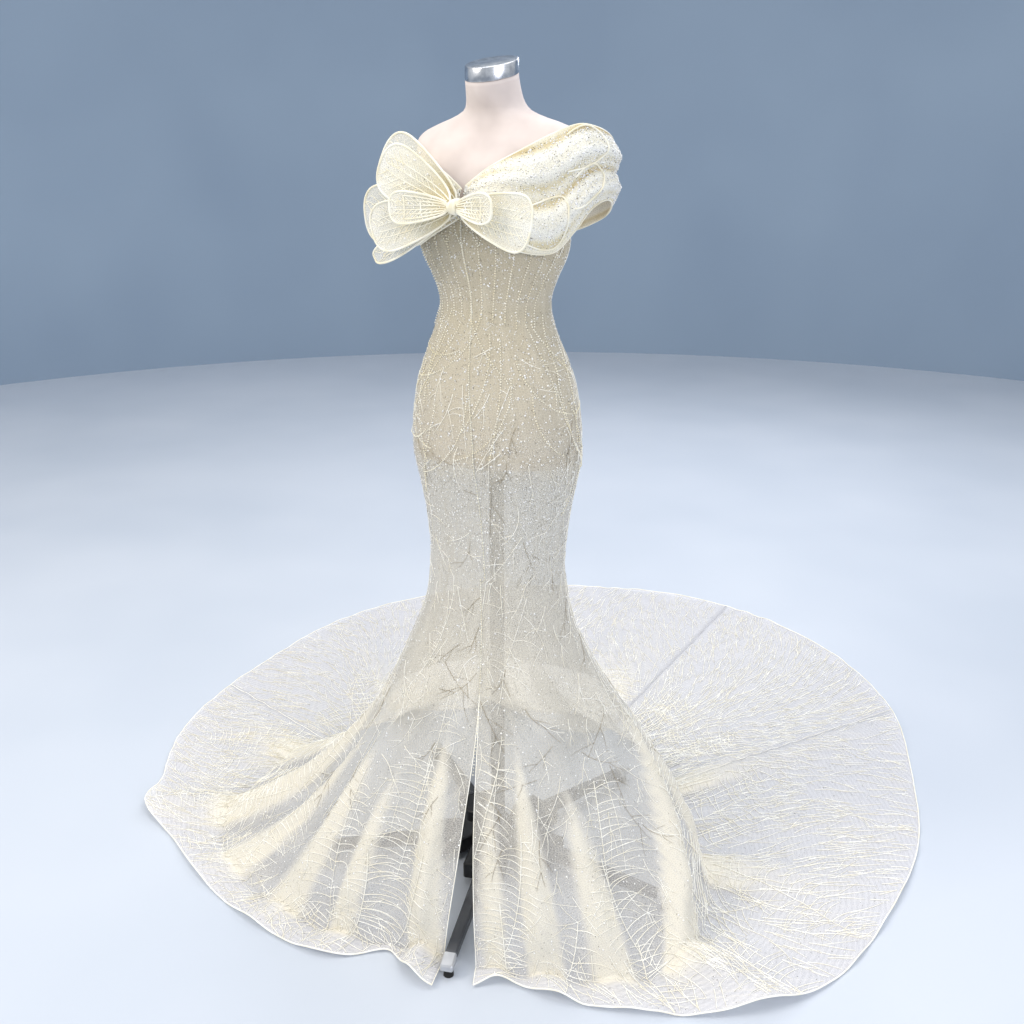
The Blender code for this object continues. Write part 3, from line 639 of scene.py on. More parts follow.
    def crease_depth(self, azimuth: np.ndarray, height: np.ndarray) -> np.ndarray:
        """How far the short slanting creases raise the hip's cloth.

        Args:
            azimuth: Degrees from the front.
            height: Heights above the floor.

        Returns:
            Depths in metres.
        """
        total = np.zeros(len(azimuth))
        for crease in CREASES:
            share = (crease.height_top - height) / (crease.height_top - crease.height_low)
            centre = crease.azimuth_top + (crease.azimuth_low - crease.azimuth_top) * share
            ends = smoothstep(share * 4.0) * smoothstep((1.0 - share) * 4.0)
            away = turn_between(azimuth, centre) / crease.width
            total += crease.depth * ends * np.exp(-away * away)
        return total

    def skirt(self, azimuth: np.ndarray, row: np.ndarray) -> np.ndarray:
        """Find points of the skirt and train, with their folds.

        Args:
            azimuth: Degrees from the front.
            row: Cloth rows from the knee on.

        Returns:
            Points about the pole.
        """
        here = self.base(azimuth, row)
        before, after = self.base(azimuth, row - 0.5), self.base(azimuth, row + 0.5)
        out = np.stack([before[:, 1] - after[:, 1], after[:, 0] - before[:, 0]], 1)
        out /= np.maximum(np.linalg.norm(out, axis=1), 1e-9)[:, None]
        share = np.interp(row - FLOOR_ROW, np.arange(len(FLOOR_SHARES)), FLOOR_SHARES)
        depth = self.fold_depth(azimuth, here[:, 1], share)
        lying = smoothstep(1.0 - here[:, 1] / FLOOR_TURN)
        angle = np.radians(azimuth)
        x, y = here[:, 0] * np.sin(angle), here[:, 0] * np.cos(angle)
        # Crossing wrinkles, 0.1 to 0.3 m long, where the cloth lies on the floor
        wrinkle = np.sin(31.0 * x + 9.0 * np.sin(5.0 * y)) * np.sin(23.0 * y + 7.0 * np.sin(6.0 * x))
        wrinkle += 0.6 * np.sin(63.0 * y + 12.0 * np.sin(7.0 * x) + 3.0)
        depth = depth + smoothstep(share * 3.0) * self.ripple * (1.2 + wrinkle)
        out[:, 0] *= 1.0 - lying
        out[:, 1] = out[:, 1] * (1.0 - lying) + lying
        reach = here[:, 0] + depth * out[:, 0]
        height = np.maximum(here[:, 1] + depth * out[:, 1], FLOOR_CLEAR)
        return np.stack([reach * np.sin(angle), -reach * np.cos(angle), height], 1)

    def frames(self, azimuth: np.ndarray, row: np.ndarray) -> tuple[np.ndarray, ...]:
        """Find points, the ways across and down the cloth, and the way out of it.

        Args:
            azimuth: Degrees from the front.
            row: Cloth rows.

        Returns:
            Points, slopes for a degree, slopes for a row, and outward normals.
        """
        points = self.at(azimuth, row)
        across = self.at(azimuth + SLOPE_TURN, row) - self.at(azimuth - SLOPE_TURN, row)
        across /= 2.0 * SLOPE_TURN
        step = np.minimum(SLOPE_ROW, HEM_ROW - row)
        down = self.at(azimuth, row + step) - self.at(azimuth, row - SLOPE_ROW)
        down /= (step + SLOPE_ROW)[:, None]
        out = np.cross(down, across)
        out /= np.maximum(np.linalg.norm(out, axis=1), 1e-9)[:, None]
        return points, across, down, out

    def row_height(self, row: np.ndarray) -> np.ndarray:
        """Find the height at which a row meets the centre-front seam.

        Args:
            row: Cloth rows.

        Returns:
            Heights above the floor.
        """
        heights = (TOP_EDGE[0].height,) + BODY_HEIGHTS + tuple(step.height for step in FLARE)
        knots = [0.0] + [ROWS_BODICE + k for k in range(len(heights) - 1)]
        return np.interp(row, knots, heights)

    def front_edge(self, row: np.ndarray, side: int) -> np.ndarray:
        """The azimuth of one panel's centre-front edge at each row."""
        seam = along(FRONT_SEAM, "height", self.row_height(row))
        return seam["azimuth"] + side * np.maximum(seam["half_opening"], 0.0)

    def side_edge(self, row: np.ndarray, side: int) -> np.ndarray:
        """The azimuth of a side seam at each row."""
        turn = SEAM_TURN_LEFT if side > 0 else SEAM_TURN_RIGHT
        return side * (SIDE_SEAM + turn * smoothstep((KNEE - self.row_height(row)) / KNEE))


# Mesh builders

# Edges that turn by more than this are sharp
SHARP = math.radians(35)


def add_object(name: str, data: bpy.types.ID) -> bpy.types.Object:
    """Put a new object in the scene.

    Args:
        name: The object's name.
        data: Its mesh, curve, light or camera.

    Returns:
        The new object.
    """
    made = bpy.data.objects.new(name, data)
    bpy.context.scene.collection.objects.link(made)
    return made


def mesh_of(name: str, work: bmesh.types.BMesh) -> bpy.types.Mesh:
    """Turn a shape in work into a mesh.

    Args:
        name: The mesh's name.
        work: The shape, which is freed.

    Returns:
        The new mesh.
    """
    mesh = bpy.data.meshes.new(name)
    work.to_mesh(mesh)
    work.free()
    return mesh


def finish_mesh(
    name: str, mesh: bpy.types.Mesh, materials: list[bpy.types.Material]
) -> bpy.types.Object:
    """Make a piece of a mesh, smooth, riding on the body and with its finish.

    Args:
        name: The piece's name.
        mesh: Its mesh, already in place.
        materials: Its materials.

    Returns:
        The new object.
    """
    for material in materials:
        mesh.materials.append(material)
    mesh.shade_smooth()
    piece = add_object(name, mesh)
    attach(piece, BODY)
    LOG.info("%s: %d faces", name, len(mesh.polygons))
    return piece


class Cut(NamedTuple):
    """The flat size of a piece of cloth."""

    width: float
    length: float
    area: float


def cloth_grid(
    name: str,
    columns: int,
    rows: int,
    place: Callable[[np.ndarray, np.ndarray], tuple[np.ndarray, np.ndarray, np.ndarray]],
    closed: bool = False,
) -> tuple[bpy.types.Mesh, Cut]:
    """Lay a flat grid of cloth over a surface.

    Args:
        name: The mesh's name.
        columns: Faces across.
        rows: Faces down.
        place: Turns shares across and down into points about the pole, how far
            down each lies (0 to 1) and how gathered the cloth is there (0 to 1).
        closed: Whether the last column meets the first.

    Returns:
        The mesh, facing outwards, with a UV map in metres, and its flat cut.
    """
    work = bmesh.new()
    work.loops.layers.uv.new("cloth")
    bmesh.ops.create_grid(work, x_segments=columns, y_segments=rows, size=0.5, calc_uvs=True)
    mesh = mesh_of(name, work)
    flat = np.empty(len(mesh.vertices) * 3)
    mesh.vertices.foreach_get("co", flat)
    flat = flat.reshape(-1, 3) + 0.5
    points, fall, gather = place(flat[:, 0], 1.0 - flat[:, 1])
    mesh.vertices.foreach_set("co", (points + AXIS).astype(np.float32).ravel())
    for label, values in (("fall", fall), ("gather", gather)):
        layer = mesh.attributes.new(label, "FLOAT", "POINT")
        layer.data.foreach_set("value", values.astype(np.float32))
    across = np.rint(flat[:, 0] * columns).astype(int)
    down = np.rint((1.0 - flat[:, 1]) * rows).astype(int)
    grid = np.zeros((rows + 1, columns + 1, 3))
    grid[down, across] = points
    right = np.linalg.norm(np.diff(grid, axis=1), axis=2)
    below = np.linalg.norm(np.diff(grid, axis=0), axis=2)
    u = np.concatenate([np.zeros((rows + 1, 1)), np.cumsum(right, axis=1)], 1)
    u -= u[:, -1:] / 2.0
    v = np.concatenate([np.zeros((1, columns + 1)), np.cumsum(below, axis=0)], 0)
    sides = np.cross(grid[1:, :-1] - grid[:-1, :-1], grid[:-1, 1:] - grid[:-1, :-1])
    cut = Cut(
        float(right.sum(axis=1).max()),
        float(below.sum(axis=0).mean()),
        float(np.linalg.norm(sides, axis=2).sum()),
    )
    corners = np.empty(len(mesh.loops), np.int32)
    mesh.loops.foreach_get("vertex_index", corners)
    uvs = np.stack([u[down, across], -v[down, across]], 1)[corners]
    mesh.uv_layers["cloth"].data.foreach_set("uv", uvs.astype(np.float32).ravel())
    if closed:
        work = bmesh.new()
        work.from_mesh(mesh)
        bmesh.ops.remove_doubles(work, verts=work.verts, dist=1e-6)
        work.to_mesh(mesh)
        work.free()
    mesh.update()
    return mesh, cut


def wall(piece: bpy.types.Object, thickness: float) -> None:
    """Give a cloth piece its thickness, outwards.

    Args:
        piece: The cloth.
        thickness: In metres.
    """
    solidify = piece.modifiers.new("wall", "SOLIDIFY")
    solidify.thickness = thickness
    solidify.offset = 1.0


def cords(
    name: str, lines: list[np.ndarray], radii: list[np.ndarray], sides: int = 3
) -> bpy.types.Mesh:
    """Lay cords along lines.

    Args:
        name: The mesh's name.
        lines: Points of each line, about the pole.
        radii: The cord's radius at each point.
        sides: How many sides a cord has; thin ones need no more than three.

    Returns:
        One mesh of all the cords.
    """
    curve = bpy.data.curves.new(name, "CURVE")
    curve.dimensions = "3D"
    outline = bpy.data.curves.new("cord_outline", "CURVE")
    ring = outline.splines.new("POLY")
    ring.points.add(sides - 1)
    ring.use_cyclic_u = True
    for k, point in enumerate(ring.points):
        angle = 2.0 * math.pi * k / sides
        point.co = (math.cos(angle), math.sin(angle), 0.0, 1.0)
    section = add_object("cord_outline", outline)
    curve.bevel_mode = "OBJECT"
    curve.bevel_object = section
    curve.use_fill_caps = True
    for line, radius in zip(lines, radii):
        spline = curve.splines.new("POLY")
        spline.points.add(len(line) - 1)
        places = np.ones((len(line), 4), np.float32)
        places[:, :3] = line + AXIS
        spline.points.foreach_set("co", places.ravel())
        spline.points.foreach_set("radius", np.asarray(radius, np.float32))
    holder = add_object(name, curve)
    graph = bpy.context.evaluated_depsgraph_get()
    mesh = bpy.data.meshes.new_from_object(holder.evaluated_get(graph))
    for spare in (holder, section):
        bpy.data.objects.remove(spare, do_unlink=True)
    for spare in (curve, outline):
        bpy.data.curves.remove(spare)
    mesh.name = name
    mesh.materials.clear()
    return mesh


def copies(
    name: str, shape: bmesh.types.BMesh, frames: np.ndarray, slots: np.ndarray | None = None
) -> bpy.types.Mesh:
    """Repeat a small shape at many places.

    Args:
        name: The mesh's name.
        shape: The shape, which is freed.
        frames: A 3 by 4 matrix for each copy, about the pole.
        slots: The material of each copy.

    Returns:
        One mesh of all the copies.
    """
    bmesh.ops.triangulate(shape, faces=shape.faces)
    shape.verts.ensure_lookup_table()
    points = np.array([vert.co[:] for vert in shape.verts])
    faces = np.array([[vert.index for vert in face.verts] for face in shape.faces])
    shape.free()
    count = len(frames)
    placed = np.einsum("nij,kj->nki", frames[:, :, :3], points) + frames[:, None, :, 3] + AXIS
    corners = faces[None] + (np.arange(count) * len(points))[:, None, None]
    mesh = bpy.data.meshes.new(name)
    mesh.vertices.add(count * len(points))
    mesh.vertices.foreach_set("co", placed.astype(np.float32).ravel())
    mesh.loops.add(count * len(faces) * 3)
    mesh.loops.foreach_set("vertex_index", corners.astype(np.int32).ravel())
    mesh.polygons.add(count * len(faces))
    mesh.polygons.foreach_set("loop_start", np.arange(count * len(faces), dtype=np.int32) * 3)
    if slots is not None:
        mesh.polygons.foreach_set("material_index", np.repeat(slots, len(faces)).astype(np.int32))
    mesh.update(calc_edges=True)
    return mesh


def bevelled(work: bmesh.types.BMesh, width: float, segments: int) -> None:
    """Round the sharp edges of a shape.

    Args:
        work: The shape.
        width: How wide the rounding is.
        segments: Its faces across.
    """
    sharp = [edge for edge in work.edges if edge.calc_face_angle(0.0) > SHARP]
    bmesh.ops.bevel(
        work, geom=sharp, offset=width, segments=segments, profile=0.5, affect="EDGES", material=-1
    )


# Finishes

# A Mix node's colour comes out of its third socket
COLOUR_RESULT = 2
# How much streaks add to the gathered look, and their mean, which is taken off again
STREAK_STRENGTH = 0.55
STREAK_MEAN = 0.27
# Streaks are about six times longer down the cloth than across
STREAK_SQUEEZE = 0.16
# Distances from a cell's edge, in cells, between which a thread fades out
THREAD_EDGE = (0.04, 0.16)
# Shares of the way down the cloth between which the stitched rows fade in
ROWS_FADE = (0.78, 0.90)
# Blender's wave texture turns 20 radians in a metre at a scale of 1, so this in a millimetre
WAVE_TURN = 0.020


def node_material(name: str) -> tuple[bpy.types.Material, bpy.types.NodeTree, bpy.types.Node]:
    """Start a material.

    Args:
        name: The material's name.

    Returns:
        The material, its node tree and its Principled shader.
    """
    material = bpy.data.materials.new(name)
    material.use_nodes = True
    return material, material.node_tree, material.node_tree.nodes["Principled BSDF"]


@dataclass(frozen=True)
class WovenSheer:
    """Sheer cloth: net, organza or voile, seen through where it hangs single, with painted shade and
    painted light in its colours.

    Colours run down the cloth (`down` holds a share and a hex colour) and turn to
    the gathered colour where folds bunch it. The real mesh of 1 to 2 mm is too
    fine to show, so its cells are drawn at cell_mm. Level rows of close stitches,
    row_mm apart, thicken the cloth that lies on the floor by row_cover.
    """

    name: str
    down: tuple[tuple[float, str], ...]
    gathered: str
    cover: tuple[tuple[float, float], ...]
    gathered_cover: float
    cell_mm: float = 5.0
    cell_cover: float = 0.16
    streak_mm: float = 18.0
    roughness: float = 0.6
    sheen: float = 0.35
    row_mm: float = 12.0
    row_cover: float = 0.0

    def make(self) -> bpy.types.Material:
        """Build the material.

        Returns:
            The material, with its nodes.
        """
        material, tree, shader = node_material(self.name)
        uv = add(tree, "ShaderNodeUVMap", uv_map="cloth").outputs["UV"]
        fall = add(tree, "ShaderNodeAttribute", attribute_name="fall").outputs["Fac"]
        gather = add(tree, "ShaderNodeAttribute", attribute_name="gather").outputs["Fac"]
        stretched = add(tree, "ShaderNodeMapping", {"Vector": uv, "Scale": (1.0, STREAK_SQUEEZE, 1.0)})
        streaks = add(
            tree, "ShaderNodeTexNoise",
            {"Vector": stretched.outputs[0], "Scale": 1000.0 / self.streak_mm, "Detail": 1.0},
            noise_dimensions="2D",
        )
        streaked = add(
            tree, "ShaderNodeMath", {0: streaks.outputs["Fac"], 1: STREAK_STRENGTH, 2: gather},
            operation="MULTIPLY_ADD",
        )
        bunched = add(
            tree, "ShaderNodeMath", {0: streaked.outputs[0], 1: STREAK_MEAN},
            operation="SUBTRACT", use_clamp=True,
        )
        colour = add(
            tree, "ShaderNodeValToRGB", {"Fac": fall},
            stops=[(place, linear(colour)) for place, colour in self.down],
        )
        mixed = add(
            tree, "ShaderNodeMix",
            {"Factor": bunched.outputs[0], "A": colour.outputs["Color"], "B": linear(self.gathered)},
            data_type="RGBA",
        )
        tree.links.new(mixed.outputs[COLOUR_RESULT], shader.inputs["Base Color"])
        cover = add(
            tree, "ShaderNodeValToRGB", {"Fac": fall},
            stops=[(place, (value, value, value, 1.0)) for place, value in self.cover],
        )
        fuller = add(
            tree, "ShaderNodeMath",
            {0: bunched.outputs[0], 1: self.gathered_cover, 2: cover.outputs["Color"]},
            operation="MULTIPLY_ADD",
        )
        alpha = fuller
        if self.cell_cover:
            cells = add(
                tree, "ShaderNodeTexVoronoi", {"Vector": uv, "Scale": 1000.0 / self.cell_mm},
                feature="DISTANCE_TO_EDGE", voronoi_dimensions="2D",
            )
            threads = add(
                tree, "ShaderNodeMapRange",
                {
                    "Value": cells.outputs["Distance"], "From Min": THREAD_EDGE[0],
                    "From Max": THREAD_EDGE[1], "To Min": 1.0, "To Max": 0.0,
                },
            )
            alpha = add(
                tree, "ShaderNodeMath",
                {0: threads.outputs[0], 1: self.cell_cover, 2: fuller.outputs[0]},
                operation="MULTIPLY_ADD", use_clamp=True,
            )
        if self.row_cover:
            stitched = add(
                tree, "ShaderNodeTexWave",
                {
                    "Vector": uv, "Scale": 2.0 * math.pi / (WAVE_TURN * self.row_mm),
                    "Distortion": 2.0, "Detail": 0.0,
                },
                bands_direction="Y",
            )
            on_floor = add(
                tree, "ShaderNodeMapRange",
                {
                    "Value": fall, "From Min": ROWS_FADE[0], "From Max": ROWS_FADE[1],
                    "To Min": 0.0, "To Max": self.row_cover,
                },
            )
            alpha = add(
                tree, "ShaderNodeMath",
                {0: stitched.outputs["Fac"], 1: on_floor.outputs[0], 2: alpha.outputs[0]},
                operation="MULTIPLY_ADD", use_clamp=True,
            )
        tree.links.new(alpha.outputs[0], shader.inputs["Alpha"])
        shader.inputs["Roughness"].default_value = self.roughness
        shader.inputs["Sheen Weight"].default_value = self.sheen
        shader.inputs["Sheen Roughness"].default_value = 0.5
        shader.inputs["IOR"].default_value = 1.45
        return material


@dataclass(frozen=True)
class Mottled:
    """A solid material whose colour drifts a little, with a fine grain in its surface.

    The grain of moulded plastic, jersey or thread is under 0.5 mm, so it is drawn
    at grain_mm.
    """

    name: str
    light: str
    dark: str
    grain_mm: float
    patch_mm: float
    roughness: float
    metallic: float = 0.0
    bump: float = 0.1
    sheen: float = 0.0
    coat: float = 0.0

    def make(self) -> bpy.types.Material:
        """Build the material.

        Returns:
            The material, with its nodes.
        """
        material, tree, shader = node_material(self.name)
        place = add(tree, "ShaderNodeTexCoord").outputs["Object"]
        patches = add(
            tree, "ShaderNodeTexNoise", {"Vector": place, "Scale": 1000.0 / self.patch_mm, "Detail": 2.0}
        )
        grain = add(
            tree, "ShaderNodeTexNoise", {"Vector": place, "Scale": 1000.0 / self.grain_mm, "Detail": 2.0}
        )
        colour = add(
            tree, "ShaderNodeValToRGB", {"Fac": patches.outputs["Fac"]},
            stops=[(0.35, linear(self.dark)), (0.65, linear(self.light))],
        )
        tree.links.new(colour.outputs["Color"], shader.inputs["Base Color"])
        rough = add(
            tree, "ShaderNodeMapRange",
            {
                "Value": grain.outputs["Fac"], "To Min": self.roughness * 0.85,
                "To Max": min(self.roughness * 1.15, 1.0),
            },
        )
        tree.links.new(rough.outputs[0], shader.inputs["Roughness"])
        raised = add(
            tree, "ShaderNodeBump",
            {"Height": grain.outputs["Fac"], "Strength": self.bump, "Distance": self.grain_mm * 0.0003},
        )
        tree.links.new(raised.outputs[0], shader.inputs["Normal"])
        shader.inputs["Metallic"].default_value = self.metallic
        if self.sheen:
            shader.inputs["Sheen Weight"].default_value = self.sheen
        if self.coat:
            shader.inputs["Coat Weight"].default_value = self.coat
        return material


# Silk tulle with net under it: cream where folds bunch it, greyer where it hangs single. Its colour down
# the cloth holds painted shade over the form and painted light below the form's foot
BEADED_TULLE = WovenSheer(
    "beaded_silk_tulle",
    # Painted shade: darker taupe on the bodice and hip, where the form stands behind; painted light:
    # brighter cream from the form's foot down; lower still it turns greyer
    down=(
        (0.0, "#CFC4A8"), (0.10, "#D5CBB1"), (0.27, "#E0D7C2"), (0.34, "#F0EADB"),
        (0.60, "#ECE7DB"), (0.76, "#E4E0DB"), (0.84, "#E4E2E1"), (1.0, "#EAE8EA"),
    ),
    gathered="#EBE5D5",
    cover=((0.0, 0.50), (0.25, 0.42), (0.31, 0.22), (0.60, 0.20), (0.80, 0.26), (0.88, 0.34), (1.0, 0.34)),
    gathered_cover=0.42,
    row_cover=0.10,
)
# Matt satin lining: champagne and dimly see-through. Its colour is painted darker over the form, as
# painted shade, and paler below the form's foot, as painted light, so the form's foot shows as a painted
# shadow edge
CHAMPAGNE_LINING = WovenSheer(
    "champagne_satin_lining",
    # Painted shade: darker over the form; painted light: paler from the form's foot down
    down=((0.0, "#D2C6A8"), (0.38, "#DDD2B8"), (0.46, "#F1EAD9"), (1.0, "#EFE7D2")),
    gathered="#F1EBDB",
    cover=((0.0, 0.32), (0.36, 0.28), (0.42, 0.10), (0.8, 0.12), (1.0, 0.20)),
    gathered_cover=0.12,
    cell_cover=0.0,
)
# Silk organza, crisp and pale, with painted golden shade near the knot, where it is drawn together
CORDED_ORGANZA = WovenSheer(
    "corded_silk_organza",
    # Painted shade: golden at the root, by the knot, and in the gathered colour there
    down=((0.0, "#CBB680"), (0.18, "#E2D7B4"), (0.45, "#EEEAD8"), (1.0, "#F5F3EA")),
    gathered="#E2D4A8",
    cover=((0.0, 0.70), (0.4, 0.42), (1.0, 0.36)),
    gathered_cover=0.3,
    cell_mm=4.5,
    cell_cover=0.22,
    streak_mm=10.0,
    roughness=0.5,
)
# Organza laid in pleats: painted golden shade down in the pleats, painted cream light on their crests
PLEATED_ORGANZA = WovenSheer(
    "pleated_silk_organza",
    # Painted shade in the pleats' valleys, painted light on their crests
    down=((0.0, "#C9B482"), (0.22, "#DDD2AE"), (0.5, "#EDE7D2"), (1.0, "#F6F4E9")),
    gathered="#F6F4EA",
    cover=((0.0, 0.86), (1.0, 0.66)),
    gathered_cover=0.2,
    cell_mm=4.5,
    cell_cover=0.2,
    streak_mm=9.0,
    roughness=0.5,
)
# Twisted rayon cord, matt, near white
CORD = Mottled("rayon_cord", "#FFFDF4", "#F2ECDA", 1.2, 30.0, 0.55, sheen=0.3)
# Fine bronze thread, which reads as thin dark twigs over the lining
BRONZE_THREAD = Mottled("bronze_thread", "#A3957A", "#8C7F68", 1.2, 30.0, 0.5)
# Petal rims: the same cord, thicker and yellower
RIM_CORD = Mottled("rim_cord", "#FBF8EA", "#EEE5C8", 1.2, 45.0, 0.5, sheen=0.3)
# Cup sequins, shell white, glossy
BRIGHT_SEQUIN = Mottled("shell_sequin", "#FFFFFF", "#FAF8F0", 2.0, 20.0, 0.2, coat=0.8)
# Sequins painted dark grey, a painted reflection of dark surroundings; small, they read as specks
SEQUIN_PAINTED_DARK_REFLECTION = Mottled("hematite_bead", "#857F76", "#5E5A54", 1.0, 15.0, 0.25, metallic=0.4)
# Cotton jersey over the form, matt, pinkish white
JERSEY = Mottled("cotton_jersey", "#DCD0CA", "#D0C4BE", 1.5, 60.0, 0.85, bump=0.15, sheen=0.1)
# Polished chrome plate, mirror bright
CHROME = Mottled("polished_chrome", "#DADCE0", "#B4B8BE", 3.0, 18.0, 0.24, metallic=1.0, bump=0.02)
# Powder-coated steel tube, dark grey
STEEL = Mottled("grey_steel_tube", "#5C5E62", "#4C4E52", 1.5, 60.0, 0.45, metallic=0.5)
# Injection-moulded ABS, black, faintly grained
BLACK_ABS = Mottled("moulded_black_abs", "#1A1A1C", "#121214", 1.2, 40.0, 0.45)
# Moulded ABS with silver paint
SILVER_ABS = Mottled("silver_painted_abs", "#C8CACD", "#B4B6BA", 1.2, 30.0, 0.32, metallic=0.5)
# Moulded rubber foot
RUBBER = Mottled("moulded_rubber", "#1C1C1C", "#101010", 1.0, 20.0, 0.85)
# Painted studio floor, plain and pale
STUDIO_FLOOR = Mottled("painted_floor", "#C8CED7", "#C1C8D2", 8.0, 900.0, 0.6, bump=0.02)
# Painted studio wall, plain mid blue-grey
STUDIO_WALL = Mottled("painted_wall", "#93A4B6", "#8C9DB0", 8.0, 1500.0, 0.8, bump=0.02)


class Wardrobe:
    """Every finish, made once."""

    def __init__(self) -> None:
        """Make the materials."""
        finishes = (
            BEADED_TULLE, CHAMPAGNE_LINING, CORDED_ORGANZA, PLEATED_ORGANZA, CORD, RIM_CORD, BRIGHT_SEQUIN,
            SEQUIN_PAINTED_DARK_REFLECTION, JERSEY, CHROME, STEEL, BLACK_ABS, SILVER_ABS, RUBBER, STUDIO_FLOOR, STUDIO_WALL,
            BRONZE_THREAD,
        )
        self.made = {finish.name: finish.make() for finish in finishes}

    def of(self, finish: WovenSheer | Mottled) -> bpy.types.Material:
        """Get the material of a finish."""
        return self.made[finish.name]


# Lines walked over the cloth

# A way that no cloth faces exactly, to turn small shapes by
SLANT = np.array([0.31, 0.22, 0.92])
# A sequin's radius and height, and how far it stands off the cloth
SEQUIN_RADIUS = 0.0016
SEQUIN_HEIGHT = 0.0008
SEQUIN_LIFT = 0.0006
# Sizes of a sequin painted dark as a painted reflection, a large sequin and a common one, and the share of
# large ones
DARK_SIZE, LARGE_SIZE, COMMON_SIZE = 0.6, 1.55, 0.8
LARGE_SHARE = 0.2


@dataclass
class Walk:
    """Lines walked over the cloth, each a row of places."""

    azimuth: np.ndarray
    row: np.ndarray
    heading: np.ndarray


def walk(
    shape: GownShape, azimuth: np.ndarray, row: np.ndarray, heading: np.ndarray,
    turn: np.ndarray, step: np.ndarray, count: int,
) -> Walk:
    """Walk lines over the cloth from many places at once.

    Args:
        shape: The gown's shape.
        azimuth: Where each line starts, in degrees.
        row: The cloth row where each starts.
        heading: Which way each starts: 0 is down the cloth, 90 towards the wearer's left.
        turn: How many degrees each turns at a step.
        step: Each line's step in metres.
        count: How many steps.

    Returns:
        The places and headings along each line.
    """
    places, headings = [(azimuth.copy(), row.copy())], [heading.copy()]
    for _ in range(count):
        azimuth, row = places[-1]
        _, across, down, _ = shape.frames(azimuth, row)
        way = np.radians(headings[-1])
        wide = np.maximum(np.linalg.norm(across, axis=1), 1e-4)
        deep = np.maximum(np.linalg.norm(down, axis=1), 1e-4)
        lower = np.clip(row + step * np.cos(way) / deep, 0.0, float(HEM_ROW))
        places.append((azimuth + step * np.sin(way) / wide, lower))
        headings.append(headings[-1] + turn)
    grid = np.array(places)
    return Walk(grid[:, 0].T, grid[:, 1].T, np.array(headings).T)


def raised(shape: GownShape, azimuth: np.ndarray, row: np.ndarray, lift: float) -> np.ndarray:
    """Points above the cloth at these places.

    Args:
        shape: The gown's shape.
        azimuth: Degrees, of any shape of array.
        row: Cloth rows, of the same shape.
        lift: How far above the cloth's inner face.

    Returns:
        An array of points, with one more axis.
    """
    points, _, _, out = shape.frames(azimuth.ravel(), row.ravel())
    return (points + out * lift).reshape(*azimuth.shape, 3)


def seen_frames(normal: np.ndarray, middle: np.ndarray, size: np.ndarray, tilt: np.ndarray) -> np.ndarray:
    """Matrices that lay small shapes on a surface.

    Args:
        normal: The way out of the surface at each.
        middle: Each one's place.
        size: Each one's scale.
        tilt: How far each leans, as a vector added to the normal.

    Returns:
        A 3 by 4 matrix for each.
    """
    up = normal + tilt
    up /= np.linalg.norm(up, axis=1)[:, None]
    side = np.cross(up, SLANT)
    side /= np.maximum(np.linalg.norm(side, axis=1), 1e-6)[:, None]
    other = np.cross(up, side)
    turn = np.stack([side, other, up], 2) * size[:, None, None]
    return np.concatenate([turn, middle[:, :, None]], 2)


def sequins(
    name: str, points: np.ndarray, out: np.ndarray, draw: np.random.Generator,
    wardrobe: Wardrobe, dark_share: float = 0.25,
) -> bpy.types.Object:
    """Sew sequins on cloth; some are painted dark grey, as a painted reflection.

    Args:
        name: The piece's name.
        points: Where they sit.
        out: The way out of the cloth at each.
        draw: The random numbers.
        wardrobe: The finishes.
        dark_share: How many are sequins painted dark, as a painted reflection.

    Returns:
        The piece.
    """
    count = len(points)
    # Painted reflection: these sequins take a dark grey finish in place of the dark surroundings they
    # would reflect
    dark = draw.random(count) < dark_share
    large = draw.random(count) < LARGE_SHARE
    size = np.where(dark, DARK_SIZE, np.where(large, LARGE_SIZE, COMMON_SIZE))
    size *= draw.uniform(0.8, 1.15, count)
    frames = seen_frames(out, points, size, draw.normal(0.0, 0.3, (count, 3)))
    shape = bmesh.new()
    bmesh.ops.create_cone(
        shape, cap_ends=True, segments=4, radius1=SEQUIN_RADIUS, radius2=0.0, depth=SEQUIN_HEIGHT
    )
    mesh = copies(name, shape, frames, dark.astype(int))
    return finish_mesh(name, mesh, [wardrobe.of(BRIGHT_SEQUIN), wardrobe.of(SEQUIN_PAINTED_DARK_REFLECTION)])


# The gown

# A height above every fold, for cloth that has none
UNFOLDED = 2.0
# Points along a panel's hem and along its seams, the row a seam's cord starts at, and
# how far the rolled hem stands off the middle of the cloth
HEM_POINTS = 120
SEAM_POINTS = 200
SEAM_START = 0.1
HEM_LIFT = 0.0006
# Points along a drape's edge and along one of its lobes
EDGE_POINTS = 160
LOBE_POINTS = 60
# Points along half a petal's rim, one of its ribs and one of its side ribs
RIM_POINTS = 40
RIB_POINTS = 40
SIDE_RIB_POINTS = 8
# How far a petal's ribs stand off its cloth
RIB_LIFT = 0.0004
SIDE_RIB_LIFT = 0.0003


class Stitching(NamedTuple):
    """How stems and ribs are sewn along one stretch of a panel, in metres."""

    first_row: float
    last_row: float
    gap: float
    reach: float
    rib_share: float
    rib: float
    radius: float


STITCHING = (
    Stitching(4.5, 13.0, 0.18, 0.20, 0.22, 0.060, 0.0008),
    Stitching(13.0, 19.0, 0.19, 0.30, 0.32, 0.100, 0.0009),
    Stitching(18.5, 26.5, 0.125, 0.36, 0.85, 0.130, 0.0013),
)


